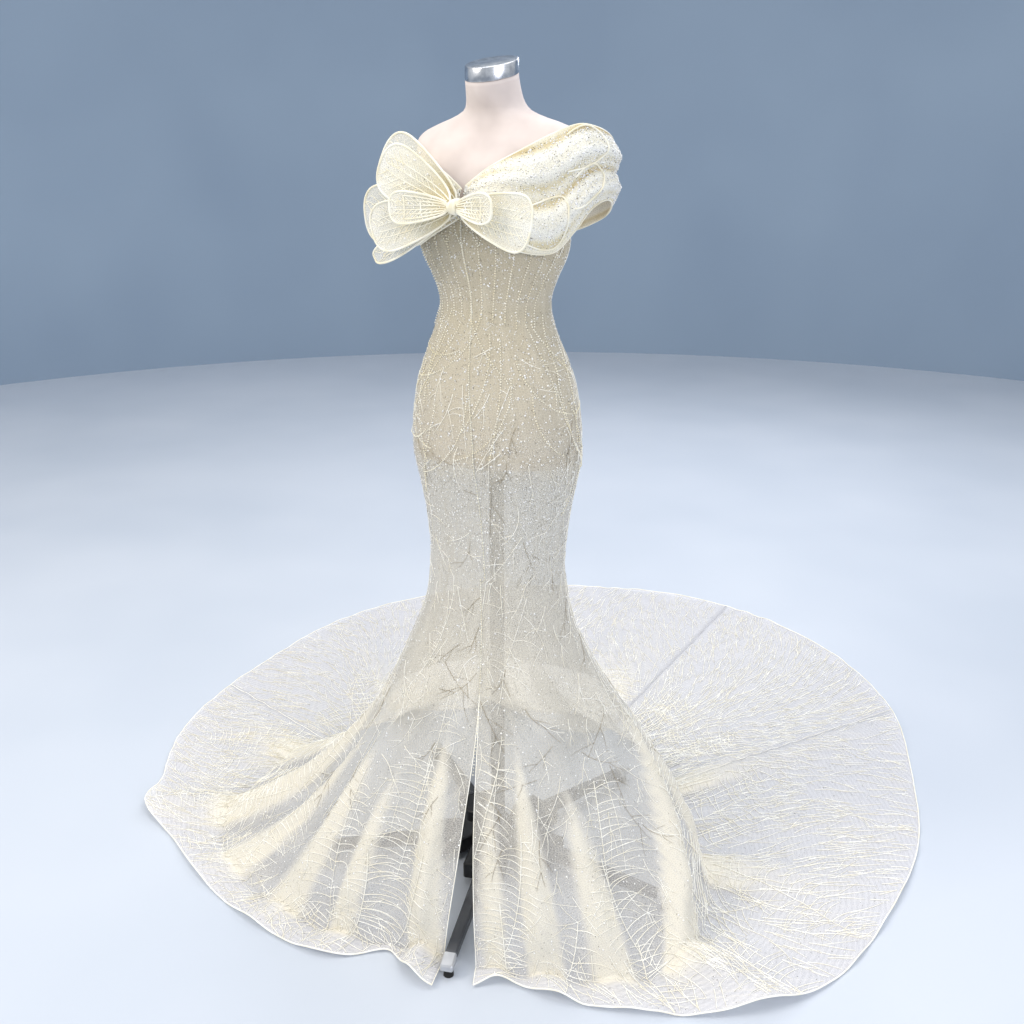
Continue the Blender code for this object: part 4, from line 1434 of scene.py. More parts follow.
@dataclass
class Panel:
    """One long panel of the gown, from the top edge to the hem."""

    node: str
    side: int
    is_front: bool
    columns: int
    rows: int
    stem_count: int
    twig_count: int
    stroke_count: int
    sequin_count: int
    rests_on: tuple[str, ...] = ("form_torso",)
    wall: float = 0.0010
    gather_depth: float = 0.024
    gather_start: float = 0.30
    gather_spread: float = 0.40
    gather_lost: float = 0.85
    hem_radius: float = 0.0018
    hem_chord: float = 0.86
    rib_pitch: float = 0.020
    twig_gap: float = 0.045
    twig_rows: tuple[float, float] = (5.0, 25.0)
    bronze_rows: tuple[float, float] = (8.0, 21.0)
    stroke_gap: float = 0.017
    stroke_rows: tuple[float, float] = (23.5, 30.6)
    upper_sequins: float = 0.42
    sequin_rows: tuple[float, float, float] = (0.3, 13.0, 30.7)
    seam_radius: float = 0.0011

    def edges(self, row: np.ndarray) -> tuple[np.ndarray, np.ndarray]:
        """Find the panel's two edges at each row.

        Args:
            row: Cloth rows.

        Returns:
            The azimuths of both edges, the smaller first.
        """
        seam = SHAPE.side_edge(row, self.side)
        if self.is_front:
            inner = SHAPE.front_edge(row, self.side)
        else:
            inner = np.full(row.shape, 180.0 * self.side)
        return (seam, inner) if (self.side < 0) == self.is_front else (inner, seam)

    def place(self, u: np.ndarray, w: np.ndarray) -> tuple[np.ndarray, np.ndarray, np.ndarray]:
        """Lay the panel's grid on the gown's shape.

        Args:
            u: Shares of the way across.
            w: Shares of the way down.

        Returns:
            Points, how far down each lies, and how gathered the cloth is there.
        """
        shares, rows = zip(*CLOTH_ROWS)
        row = np.interp(w, shares, rows)
        low, high = self.edges(row)
        azimuth = low + (high - low) * u
        share = np.interp(row - FLOOR_ROW, np.arange(len(FLOOR_SHARES)), FLOOR_SHARES)
        height = np.where(row > KNEE_ROW, SHAPE.base(azimuth, row)[:, 1], UNFOLDED)
        depth = SHAPE.fold_depth(azimuth, height, share)
        gather = smoothstep((depth / self.gather_depth - self.gather_start) / self.gather_spread)
        gather *= 1.0 - self.gather_lost * smoothstep(share * 2.5)
        return SHAPE.at(azimuth, row), row / HEM_ROW, gather

    def inside(self, azimuth: np.ndarray, row: np.ndarray, margin: float) -> np.ndarray:
        """Tell which places lie on the panel, clear of its edges.

        Args:
            azimuth: Degrees from the front.
            row: Cloth rows.
            margin: How clear of the edges, in degrees.

        Returns:
            True for each place that does.
        """
        low, high = self.edges(row)
        return (azimuth > low + margin) & (azimuth < high - margin) & (row < HEM_ROW - 0.05)

    def spread(
        self, draw: np.random.Generator, count: int, rows: tuple[float, float]
    ) -> tuple[np.ndarray, np.ndarray]:
        """Scatter places evenly over the panel's cloth.

        Args:
            draw: The random numbers.
            count: How many.
            rows: The first and last cloth row.

        Returns:
            Azimuths and rows.
        """
        cell_rows = np.linspace(rows[0], rows[1], CELLS_DOWN + 1)
        deep = cell_rows[1] - cell_rows[0]
        middle = (cell_rows[1:] + cell_rows[:-1]) / 2.0
        low, high = self.edges(middle)
        shares = (np.arange(CELLS_ACROSS) + 0.5) / CELLS_ACROSS
        azimuth = low[:, None] + (high - low)[:, None] * shares[None]
        row = np.repeat(middle[:, None], CELLS_ACROSS, 1)
        _, across, down, _ = SHAPE.frames(azimuth.ravel(), row.ravel())
        area = np.linalg.norm(across, axis=1) * np.linalg.norm(down, axis=1)
        area *= np.repeat((high - low) / CELLS_ACROSS, CELLS_ACROSS) * deep
        cell = draw.choice(len(area), size=count, p=area / area.sum())
        i, j = cell // CELLS_ACROSS, cell % CELLS_ACROSS
        row = middle[i] + (draw.random(count) - 0.5) * deep
        azimuth = low[i] + (high - low)[i] * (j + draw.random(count)) / CELLS_ACROSS
        return azimuth, row

    def build(self, wardrobe: Wardrobe) -> None:
        """Build the panel, its embroidery, its sequins and its hem.

        Args:
            wardrobe: The finishes.
        """
        mesh, cut = cloth_grid(self.node, self.columns, self.rows, self.place)
        cloth = finish_mesh(f"{self.node}_cloth", mesh, [wardrobe.of(BEADED_TULLE)])
        wall(cloth, self.wall)
        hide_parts(self.node)
        stitched = [*self.embroider(wardrobe), self.scatter(wardrobe), self.hem(wardrobe)]
        LOG.info("%s cut: %.2f x %.2f m, %.2f m2", self.node, *cut)

    def apart(
        self, draw: np.random.Generator, count: int, rows: tuple[float, float], gap: float
    ) -> tuple[np.ndarray, np.ndarray]:
        """Pick places that keep clear of each other.

        Args:
            draw: The random numbers.
            count: The most places.
            rows: The first and last cloth row.
            gap: The least distance between two, in metres.

        Returns:
            Azimuths and rows.
        """
        azimuth, row = self.spread(draw, count * 7, rows)
        points = SHAPE.at(azimuth, row)
        chosen: list[int] = []
        for k, point in enumerate(points):
            if not chosen or np.linalg.norm(points[chosen] - point, axis=1).min() > gap:
                chosen.append(k)
            if len(chosen) == count:
                break
        return azimuth[chosen], row[chosen]

    def embroider(self, wardrobe: Wardrobe) -> list[bpy.types.Object]:
        """Lay corded stems with sagging ribs, short strokes on the train, and twigs.

        Args:
            wardrobe: The finishes.

        Returns:
            The pale embroidery and the bronze twigs.
        """
        draw = np.random.default_rng(SEED + len(self.node) * 7 + self.side)
        sewn: list[tuple[np.ndarray, np.ndarray]] = []
        for stitching in STITCHING:
            self.stems(draw, stitching, sewn)
        self.twigs(draw, self.twig_rows, self.twig_count, sewn)
        self.strokes(draw, sewn)
        bronze: list[tuple[np.ndarray, np.ndarray]] = []
        self.twigs(draw, self.bronze_rows, self.twig_count // 5, bronze)
        bronze = [(line, radius * 0.6) for line, radius in bronze]
        pieces = []
        for kind, drawn, finish in (("branches", sewn, CORD), ("bronze_twigs", bronze, BRONZE_THREAD)):
            name = f"{self.node}_{kind}"
            mesh = cords(name, [line for line, _ in drawn], [radius for _, radius in drawn])
            pieces.append(finish_mesh(name, mesh, [wardrobe.of(finish)]))
        return pieces

    def stems(self, draw: np.random.Generator, stitching: Stitching, sewn: list) -> None:
        """Lay stems down the cloth, each with rows of ribs that rise and then sag.

        Args:
            draw: The random numbers.
            stitching: How they are sewn here.
            sewn: Where each kept line goes, with its radii.
        """
        rows = stitching.first_row, stitching.last_row
        azimuth, row = self.apart(draw, self.stem_count, rows, stitching.gap)
        count = len(azimuth)
        steps = int(stitching.reach / self.rib_pitch)
        step = draw.uniform(0.7, 1.0, count) * stitching.reach / steps
        heading, bend = draw.normal(0.0, 9.0, count), draw.normal(0.0, 1.6, count)
        stems = walk(SHAPE, azimuth, row, heading, bend, step, steps)
        self.keep(stems, stitching.radius, stitching.radius * 0.55, sewn)
        wide = np.sin(math.pi * (np.arange(steps) + 1.5) / (steps + 1.5)) ** 0.5
        start, level, heading = stems.azimuth[:, 1:], stems.row[:, 1:], stems.heading[:, 1:]
        for hand in (-1.0, 1.0):
            length = draw.uniform(0.3, 1.0, count)[:, None] * wide * stitching.rib
            used = (draw.random((count, steps)) < stitching.rib_share) & self.inside(start, level, 0.4)
            ribs = int(used.sum())
            away = heading[used] + hand * draw.normal(106.0, 5.0, ribs)
            bend = -hand * draw.normal(8.0, 2.0, ribs)
            step = length[used] * draw.uniform(0.8, 1.15, ribs) / 6
            walked = walk(SHAPE, start[used], level[used], away, bend, step, 6)
            self.keep(walked, stitching.radius * 0.85, stitching.radius * 0.45, sewn)

    def twigs(
        self, draw: np.random.Generator, rows: tuple[float, float], most: int, sewn: list
    ) -> None:
        """Scatter small forked twigs.

        Args:
            draw: The random numbers.
            rows: The first and last cloth row.
            most: The most twigs.
            sewn: Where each kept line goes, with its radii.
        """
        azimuth, row = self.apart(draw, most, rows, self.twig_gap)
        count = len(azimuth)
        length = draw.uniform(0.05, 0.12, count)
        heading, bend = draw.normal(0.0, 34.0, count), draw.normal(0.0, 6.0, count)
        twigs = walk(SHAPE, azimuth, row, heading, bend, length / 6, 6)
        self.keep(twigs, 0.0009, 0.0005, sewn)
        for k, hand in ((2, 1.0), (4, -1.0)):
            away = twigs.heading[:, k] + hand * draw.normal(42.0, 8.0, count)
            bend = -hand * draw.normal(6.0, 2.0, count)
            step = length * draw.uniform(0.3, 0.6, count) / 3
            forks = walk(SHAPE, twigs.azimuth[:, k], twigs.row[:, k], away, bend, step, 3)
            self.keep(forks, 0.0008, 0.0004, sewn)

    def strokes(self, draw: np.random.Generator, sewn: list) -> None:
        """Sew short strokes on the train, nearly side by side.

        Args:
            draw: The random numbers.
            sewn: Where each kept line goes, with its radii.
        """
        azimuth, row = self.apart(draw, self.stroke_count, self.stroke_rows, self.stroke_gap)
        count = len(azimuth)
        heading = 26.0 * np.sin(np.radians(azimuth * 5.0) + row * 0.6) + draw.normal(0.0, 9.0, count)
        step = draw.uniform(0.05, 0.13, count) / 5
        walked = walk(SHAPE, azimuth, row, heading, draw.normal(0.0, 3.0, count), step, 5)
        self.keep(walked, 0.0011, 0.0006, sewn)
        forked = draw.random(count) < 0.35
        away = walked.heading[forked, 1] + draw.choice((-1.0, 1.0), int(forked.sum())) * 30.0
        start = walked.azimuth[forked, 1], walked.row[forked, 1]
        forks = walk(SHAPE, *start, away, np.zeros(len(away)), step[forked], 3)
        self.keep(forks, 0.0009, 0.0005, sewn)

    def keep(self, walked: Walk, thick: float, thin: float, sewn: list) -> None:
        """Keep the stretches of walked lines that lie on the panel.

        Args:
            walked: The lines.
            thick: A line's radius at its start.
            thin: Its radius at its end.
            sewn: Where each kept line goes, with its radii.
        """
        points = raised(SHAPE, walked.azimuth, walked.row, self.wall + thick * 0.6)
        fine = self.inside(walked.azimuth, walked.row, 0.25)
        taper = thick + (thin - thick) * np.linspace(0.0, 1.0, walked.row.shape[1]) ** 1.5
        for line, good in zip(points, fine):
            last = len(good) if good.all() else int(np.argmin(good))
            if last >= 3:
                sewn.append((line[:last], taper[:last]))

    def scatter(self, wardrobe: Wardrobe) -> bpy.types.Object:
        """Sew sequins on the panel, closest on the bodice and hip; some are painted dark, as a painted
        reflection.

        Args:
            wardrobe: The finishes.

        Returns:
            The sewn piece.
        """
        draw = np.random.default_rng(SEED + len(self.node) * 11 + self.side)
        upper = int(self.sequin_count * self.upper_sequins)
        sets = [
            self.spread(draw, upper, self.sequin_rows[:2]),
            self.spread(draw, self.sequin_count - upper, self.sequin_rows[1:]),
        ]
        azimuth = np.concatenate([item[0] for item in sets])
        row = np.concatenate([item[1] for item in sets])
        good = self.inside(azimuth, row, 0.3)
        azimuth, row = azimuth[good], row[good]
        points, _, _, out = SHAPE.frames(azimuth, row)
        raised_points = points + out * (self.wall + SEQUIN_LIFT)
        return sequins(f"{self.node}_sequins", raised_points, out, draw, wardrobe)

    def hem(self, wardrobe: Wardrobe) -> bpy.types.Object:
        """Roll a narrow hem along the panel's foot, and cord a front panel's seams.

        Args:
            wardrobe: The finishes.

        Returns:
            The hem with the cords.
        """
        row = np.full(HEM_POINTS, float(HEM_ROW))
        low, high = self.edges(row)
        azimuth = low + (high - low) * np.linspace(0.0, 1.0, HEM_POINTS)
        lines = [raised(SHAPE, azimuth, row, self.wall * 0.5 + HEM_LIFT)]
        radii = [np.full(HEM_POINTS, self.hem_radius)]
        if self.is_front:
            rows = np.linspace(SEAM_START, HEM_ROW, SEAM_POINTS)
            for edge in self.edges(rows):
                lines.append(raised(SHAPE, edge, rows, self.wall * 0.5))
                radii.append(np.full(SEAM_POINTS, self.seam_radius))
        mesh = cords(f"{self.node}_rolled_hem", lines, radii, sides=6)
        return finish_mesh(f"{self.node}_rolled_hem", mesh, [wardrobe.of(CORD)])


@dataclass
class BodiceBeads:
    """Lines of small beads that run from the bust to the waist, with branching tops."""

    line_count: int = 13
    line_reach: float = 78.0
    line_length: float = 0.17
    fork_length: float = 0.052
    hip_count: int = 26
    hip_reach: float = 95.0
    spacing: float = 0.0052
    bead: float = 0.0017
    lift: float = 0.0020
    seam_rows: tuple[float, float] = (0.6, 19.0)
    seam_count: int = 210

    def build(self, wardrobe: Wardrobe) -> bpy.types.Object:
        """Build the bead lines of the bodice and the hip.

        Args:
            wardrobe: The finishes.

        Returns:
            The beads, as one piece.
        """
        draw = np.random.default_rng(SEED + 3)
        starts, rows, headings, turns, lengths = [], [], [], [], []
        for k in range(self.line_count):
            azimuth = -self.line_reach + 2.0 * self.line_reach * k / (self.line_count - 1)
            starts.append(azimuth + draw.normal(0.0, 1.5))
            rows.append(1.4 + draw.uniform(-0.3, 0.3))
            headings.append(-azimuth * 0.10)
            turns.append(0.0)
            lengths.append(self.line_length)
            for hand in (-1, 1):
                starts.append(azimuth)
                rows.append(1.6)
                headings.append(180.0 + hand * 32.0)
                turns.append(-hand * 3.0)
                lengths.append(self.fork_length)
        for k in range(self.hip_count):
            azimuth = -self.hip_reach + 2.0 * self.hip_reach * (k + 0.5) / self.hip_count
            azimuth += draw.normal(0.0, 2.0)
            starts.append(azimuth)
            rows.append(4.0 + draw.uniform(0.0, 4.0))
            headings.append(draw.normal(0.0, 14.0))
            turns.append(draw.normal(0.0, 1.2))
            lengths.append(draw.uniform(0.14, 0.30))
        steps = (np.array(lengths) / self.spacing).astype(int)
        count = int(steps.max())
        walked = walk(
            SHAPE, np.array(starts), np.array(rows), np.array(headings), np.array(turns),
            np.full(len(starts), self.spacing), count,
        )
        use = np.arange(count + 1)[None] < steps[:, None]
        azimuth, row = walked.azimuth[use], walked.row[use]
        seam_rows = np.linspace(*self.seam_rows, self.seam_count)
        azimuth = np.concatenate([azimuth, SHAPE.front_edge(seam_rows, 0)])
        row = np.concatenate([row, seam_rows])
        points, _, _, out = SHAPE.frames(azimuth, row)
        size = draw.uniform(0.8, 1.15, len(row))
        frames = seen_frames(out, points + out * self.lift, size, np.zeros((len(row), 3)))
        shape = bmesh.new()
        bmesh.ops.create_uvsphere(shape, u_segments=4, v_segments=3, radius=self.bead)
        mesh = copies("bodice_beads", shape, frames)
        return finish_mesh("bodice_beads", mesh, [wardrobe.of(RIM_CORD)])


@dataclass
class Lining:
    """The thin lining, a tube from the waist to a hem that rises at the slit."""

    ease: float = 0.0019
    inset: float = 0.0045
    hem_side: float = 0.375
    hem_rise: float = 0.125
    rise_azimuth: float = 18.0
    ripples: int = 14
    columns: int = 104
    rows: int = 56
    wall: float = 0.0006

    def place(self, u: np.ndarray, w: np.ndarray) -> tuple[np.ndarray, np.ndarray, np.ndarray]:
        """Lay the lining just inside the panels.

        Args:
            u: Shares of the way round.
            w: Shares of the way down.

        Returns:
            Points, how far down each lies, and how gathered the cloth is there.
        """
        azimuth = -180.0 + 360.0 * u
        rise = (0.5 + 0.5 * np.cos(np.radians(azimuth - self.rise_azimuth))) ** 4
        foot = self.hem_side + self.hem_rise * rise
        height = BODY_HEIGHTS[0] + (foot - BODY_HEIGHTS[0]) * w
        points = SHAPE.ring(azimuth, np.maximum(height, KNEE), self.ease - EASE)
        low = height < KNEE
        heights = [KNEE] + [step.height for step in FLARE]
        row = KNEE_ROW + np.interp(-height, [-value for value in heights], np.arange(len(heights)))
        reach = SHAPE.base(azimuth, row)[:, 0] - self.inset
        angle = np.radians(azimuth)
        flared = np.stack([reach * np.sin(angle), -reach * np.cos(angle), height], 1)
        points[low] = flared[low]
        points[:, 2] = height
        ripple = 0.5 + 0.5 * np.sin(np.radians(azimuth * self.ripples))
        return points, w, ripple * 0.4

    def build(self, wardrobe: Wardrobe) -> None:
        """Build the lining.

        Args:
            wardrobe: The finishes.
        """
        mesh, cut = cloth_grid("lining", self.columns, self.rows, self.place, closed=True)
        piece = finish_mesh("lining_cloth", mesh, [wardrobe.of(CHAMPAGNE_LINING)])
        wall(piece, self.wall)
        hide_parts("lining")
        LOG.info("lining cut: %.2f x %.2f m, %.2f m2", *cut)


@dataclass
class Drape:
    """A pleated drape that crosses the bust and passes round the upper arm."""

    node: str
    table: tuple[DrapeRow, ...]
    side: int
    sequin_count: int
    columns: int = 150
    rows: int = 54
    lobes: tuple[tuple[float, float, float, float], ...] = ()
    pleats: float = 2.0
    fine_pleats: float = 6.0
    fine_depth: float = 0.0028
    wall: float = 0.0016
    edge_radius: float = 0.0019
    middle_radius: float = 0.0013
    lobe_radius: float = 0.0018
    lobe_turn: float = 115.0
    # Share of sequins painted dark, as a painted reflection
    dark_share: float = 0.18

    def at(self, along_share: np.ndarray, down_share: np.ndarray) -> tuple[np.ndarray, np.ndarray]:
        """Find points of the drape.

        Args:
            along_share: Shares of the way along it, from the front to the back.
            down_share: Shares of the way from its upper edge to its lower one.

        Returns:
            Points about the pole, and how far each stands out of its pleats (0 to 1).
        """
        grid = np.array(self.table, float)
        place = np.clip(along_share, 0.0, 1.0) * (len(grid) - 1)
        index = np.minimum(place.astype(int), len(grid) - 2)
        row = hermite(grid, index, place - index)
        before = grid[np.maximum(index - 1, 0)]
        after = grid[np.minimum(index + 2, len(grid) - 1)]
        share = (place - index)[:, None]
        run = (1 - share) * (grid[index + 1] - before) + share * (after - grid[index])
        out = np.stack([run[:, 1], -run[:, 0], np.zeros(len(run))], 1) * self.side
        out /= np.maximum(np.linalg.norm(out, axis=1), 1e-9)[:, None]
        whole = np.sin(math.pi * down_share)
        pleats = 0.5 - 0.5 * np.cos(2.0 * math.pi * self.pleats * down_share)
        drift = 0.35 * np.sin(7.0 * along_share + 2.0) + 0.2 * np.sin(17.0 * along_share)
        fine = 0.5 - 0.5 * np.cos(2.0 * math.pi * (self.fine_pleats * down_share + drift))
        push = row[:, 6] * (0.25 * whole + 0.75 * pleats) + self.fine_depth * fine * whole
        top, low = row[:, 0:3], row[:, 3:6]
        points = top + (low - top) * down_share[:, None] + out * push[:, None]
        return points, np.clip(0.45 * fine + 0.55 * pleats, 0.0, 1.0)

    def place(self, u: np.ndarray, w: np.ndarray) -> tuple[np.ndarray, np.ndarray, np.ndarray]:
        """Lay the drape's grid.

        Args:
            u: Shares of the way across.
            w: Shares of the way down.

        Returns:
            Points, and twice how far each stands out, for its colour (painted shade in the pleats, painted
            light on their crests) and its cover.
        """
        points, crest = self.at(u if self.side > 0 else 1.0 - u, w)
        return points, crest, crest * 0.5

    def build(self, wardrobe: Wardrobe) -> None:
        """Build the drape, its corded edges and its sequins.

        Args:
            wardrobe: The finishes.
        """
        mesh, cut = cloth_grid(self.node, self.columns, self.rows, self.place)
        cloth = finish_mesh(f"{self.node}_cloth", mesh, [wardrobe.of(PLEATED_ORGANZA)])
        wall(cloth, self.wall)
        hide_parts(self.node)
        shares = np.linspace(0.0, 1.0, EDGE_POINTS)
        lines, radii = [], []
        for down, radius in ((0.0, self.edge_radius), (0.5, self.middle_radius), (1.0, self.edge_radius)):
            lines.append(self.at(shares, np.full(EDGE_POINTS, down))[0])
            radii.append(np.full(EDGE_POINTS, radius))
        turn = np.radians(np.linspace(-self.lobe_turn, self.lobe_turn, LOBE_POINTS))
        for middle_along, middle_down, long, deep in self.lobes:
            share = middle_along + long * np.cos(turn)
            down = middle_down + deep * np.sin(turn) * (1.0 + 0.35 * np.cos(turn))
            lines.append(self.lifted(share, np.clip(down, 0.01, 0.99), self.wall + 0.0012)[0])
            radii.append(np.full(LOBE_POINTS, self.lobe_radius))
        edge = cords(f"{self.node}_cord", lines, radii, sides=6)
        edging = finish_mesh(f"{self.node}_corded_edge", edge, [wardrobe.of(RIM_CORD)])
        sewn = self.scatter(wardrobe)
        LOG.info("%s cut: %.2f x %.2f m, %.2f m2", self.node, *cut)

    def lifted(
        self, along_share: np.ndarray, down_share: np.ndarray, lift: float
    ) -> tuple[np.ndarray, np.ndarray]:
        """Find points above the drape's cloth.

        Args:
            along_share: Shares of the way along it.
            down_share: Shares of the way down it.
            lift: How far above the cloth's inner face.

        Returns:
            The points, and the way out of the cloth at each.
        """
        points, _ = self.at(along_share, down_share)
        ahead, _ = self.at(along_share + 0.004, down_share)
        lower, _ = self.at(along_share, down_share + 0.01)
        out = np.cross(lower - points, ahead - points) * self.side
        out /= np.maximum(np.linalg.norm(out, axis=1), 1e-9)[:, None]
        return points + out * lift, out

    def scatter(self, wardrobe: Wardrobe) -> bpy.types.Object:
        """Sew sequins thickly over the drape.

        Args:
            wardrobe: The finishes.

        Returns:
            The sewn piece.
        """
        draw = np.random.default_rng(SEED + 40 + self.side)
        along_share = draw.random(self.sequin_count)
        down_share = draw.uniform(0.03, 0.97, self.sequin_count)
        points, out = self.lifted(along_share, down_share, self.wall + SEQUIN_LIFT)
        name = f"{self.node}_sequins"
        return sequins(name, points, out, draw, wardrobe, self.dark_share)


@dataclass
class Petal:
    """One wired petal of the bow, with a corded rim and corded ribs."""

    cut: PetalCut
    columns: int = 36
    rows: int = 30
    wall: float = 0.0016
    rim_radius: float = 0.0023
    loop_rims: tuple[float, ...] = (0.72, 0.45)
    ribs: tuple[float, ...] = (-0.5, -0.17, 0.17, 0.5)
    side_ribs: int = 18
    side_rib_gap: float = 0.045
    sequin_count: int = 90
    # Share of sequins painted dark, as a painted reflection
    dark_share: float = 0.15
    nudge: float = 0.0002
    knot_clear: float = 0.0042
    start: float = field(init=False, default=0.0)

    def __post_init__(self) -> None:
        """Start the petal just clear of the knot."""
        across = np.linspace(-1.0, 1.0, 9)
        middle = KNOT + (0.0, KNOT_BACK, 0.0)
        while True:
            root = self.at(np.zeros(9), across)
            faces = root, root - (0.0, self.knot_clear, 0.0)
            away = [np.linalg.norm((face - middle) / KNOT_HALVES, axis=1) for face in faces]
            if np.min(away) > 1.0:
                break
            self.start += self.nudge

    def at(self, t: np.ndarray, s: np.ndarray) -> np.ndarray:
        """Find points of the petal.

        Args:
            t: Shares of the way from the knot to the tip.
            s: Places across it, from -1 to 1.

        Returns:
            Points about the pole.
        """
        cut = self.cut
        angle = math.radians(cut.angle)
        run = np.array([cut.side * math.cos(angle), 0.0, math.sin(angle)])
        across = np.array([-cut.side * math.sin(angle), 0.0, math.cos(angle)])
        rounding = np.maximum(1.0 - t**cut.blunt, 0.0)
        half = cut.half_width * t**cut.rise * np.sqrt(rounding) + PETAL_END
        lift = cut.lift_root + (cut.lift_tip - cut.lift_root) * smoothstep(t)
        lift = lift + cut.cup * (s * half / cut.half_width) ** 2 * np.sin(math.pi * np.minimum(t, 0.97))
        lift = lift + cut.wave * np.cos(3.0 * math.pi * s) * t * t * (1.0 - np.abs(s)) * rounding**2
        reach = self.start + (cut.length - self.start) * t
        forward = np.stack([np.zeros(len(t)), -lift, np.zeros(len(t))], 1)
        return KNOT + run * reach[:, None] + across * (half * s)[:, None] + forward

    def place(self, u: np.ndarray, w: np.ndarray) -> tuple[np.ndarray, np.ndarray, np.ndarray]:
        """Lay the petal's grid, from its tip down to the knot.

        Args:
            u: Shares of the way across.
            w: Shares of the way from the tip.

        Returns:
            Points, how far each is from the knot, and how gathered the cloth is there; both also set the
            painted golden shade near the knot.
        """
        t = np.sin(0.5 * math.pi * (1.0 - w))
        s = (1.0 - 2.0 * u) * self.cut.side
        return self.at(t, s), t, np.clip(0.4 - t, 0.0, 1.0)

    def build(self, wardrobe: Wardrobe) -> None:
        """Build the petal's cloth, its rim, its ribs and its sequins.

        Args:
            wardrobe: The finishes.
        """
        name = self.cut.name
        mesh, cut = cloth_grid(name, self.columns, self.rows, self.place)
        cloth = finish_mesh(f"{name}_cloth", mesh, [wardrobe.of(CORDED_ORGANZA)])
        wall(cloth, self.wall)
        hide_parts(name)
        lines, radii = self.rim(1.0)
        if "loop" in name:
            for size in self.loop_rims:
                inner, thin = self.rim(size)
                lines += inner
                radii += [radius * 0.6 for radius in thin]
        t = np.linspace(0.02, 0.9, RIB_POINTS)
        for s in self.ribs:
            lines.append(self.at(t, s * (1.0 - 0.25 * t)) - (0.0, self.wall + RIB_LIFT, 0.0))
            radii.append(np.linspace(0.0013, 0.0006, RIB_POINTS))
        for k in range(self.side_ribs):
            root = 0.15 + self.side_rib_gap * k
            hand = 1.0 if k % 2 else -1.0
            t = np.linspace(root, min(root + 0.16, 0.97), SIDE_RIB_POINTS)
            s = hand * (self.ribs[2] + np.linspace(0.0, 0.6, SIDE_RIB_POINTS) ** 1.1)
            lines.append(self.at(t, s) - (0.0, self.wall + SIDE_RIB_LIFT, 0.0))
            radii.append(np.linspace(0.0009, 0.0005, SIDE_RIB_POINTS))
        edge = cords(f"{name}_cord", lines, radii, sides=6)
        rim = finish_mesh(f"{name}_corded_rim", edge, [wardrobe.of(RIM_CORD)])
        sewn = self.scatter(wardrobe)
        LOG.info("%s cut: %.3f x %.3f m, %.4f m2", name, *cut)

    def scatter(self, wardrobe: Wardrobe) -> bpy.types.Object:
        """Sew sequins on the petal's front.

        Args:
            wardrobe: The finishes.

        Returns:
            The sewn piece.
        """
        draw = np.random.default_rng(SEED + int(self.cut.angle) + 500 * (self.cut.side + 2))
        t = draw.uniform(0.12, 0.95, self.sequin_count)
        s = draw.uniform(-0.9, 0.9, self.sequin_count)
        points = self.at(t, s) - (0.0, self.wall + SEQUIN_LIFT, 0.0)
        forward = np.tile((0.0, -1.0, 0.0), (self.sequin_count, 1))
        name = f"{self.cut.name}_sequins"
        return sequins(name, points, forward, draw, wardrobe, self.dark_share)

    def rim(self, size: float) -> tuple[list[np.ndarray], list[np.ndarray]]:
        """Lay a cord round the petal, or round a smaller petal inside it.

        Args:
            size: The cord's size as a share of the petal's.

        Returns:
            The cord's line and its radii, each in a list of its own.
        """
        ends = np.sin(0.5 * math.pi * np.linspace(0.0, 1.0, RIM_POINTS))
        tip = np.linspace(1.0, -1.0, 9)[1:-1]
        t = np.concatenate([ends, np.ones(7), ends[::-1]]) * size
        s = np.concatenate([np.ones(RIM_POINTS), tip, -np.ones(RIM_POINTS)]) * size
        points = self.at(t, s) - (0.0, self.wall * 0.5 + (0.0 if size == 1.0 else 0.0012), 0.0)
        return [points], [np.full(len(t), self.rim_radius)]


@dataclass
class Knot:
    """The pleated knot at the middle of the bow."""

    pleats: int = 9
    pleat_depth: float = 0.09
    inset: float = 0.0002

    def build(self, wardrobe: Wardrobe) -> None:
        """Build the knot.

        Args:
            wardrobe: The finishes.
        """
        work = bmesh.new()
        work.loops.layers.uv.new("cloth")
        bmesh.ops.create_uvsphere(work, u_segments=72, v_segments=36, radius=1.0, calc_uvs=True)
        for vert in work.verts:
            swell = math.cos(self.pleats * math.atan2(vert.co.y, vert.co.x))
            vert.co.xy *= 1.0 - self.pleat_depth * (0.5 - 0.5 * swell) * (1.0 - vert.co.z**2)
        size = Matrix.Diagonal((*(KNOT_HALVES - self.inset), 1.0))
        middle = Matrix.Translation(Vector(KNOT + AXIS) + Vector((0.0, KNOT_BACK, 0.0)))
        bmesh.ops.transform(work, matrix=middle @ size, verts=work.verts)
        mesh = mesh_of("bow_knot", work)
        knot = finish_mesh("bow_knot_pleated", mesh, [wardrobe.of(RIM_CORD)])
        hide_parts("bow_knot")


# The form and its stand


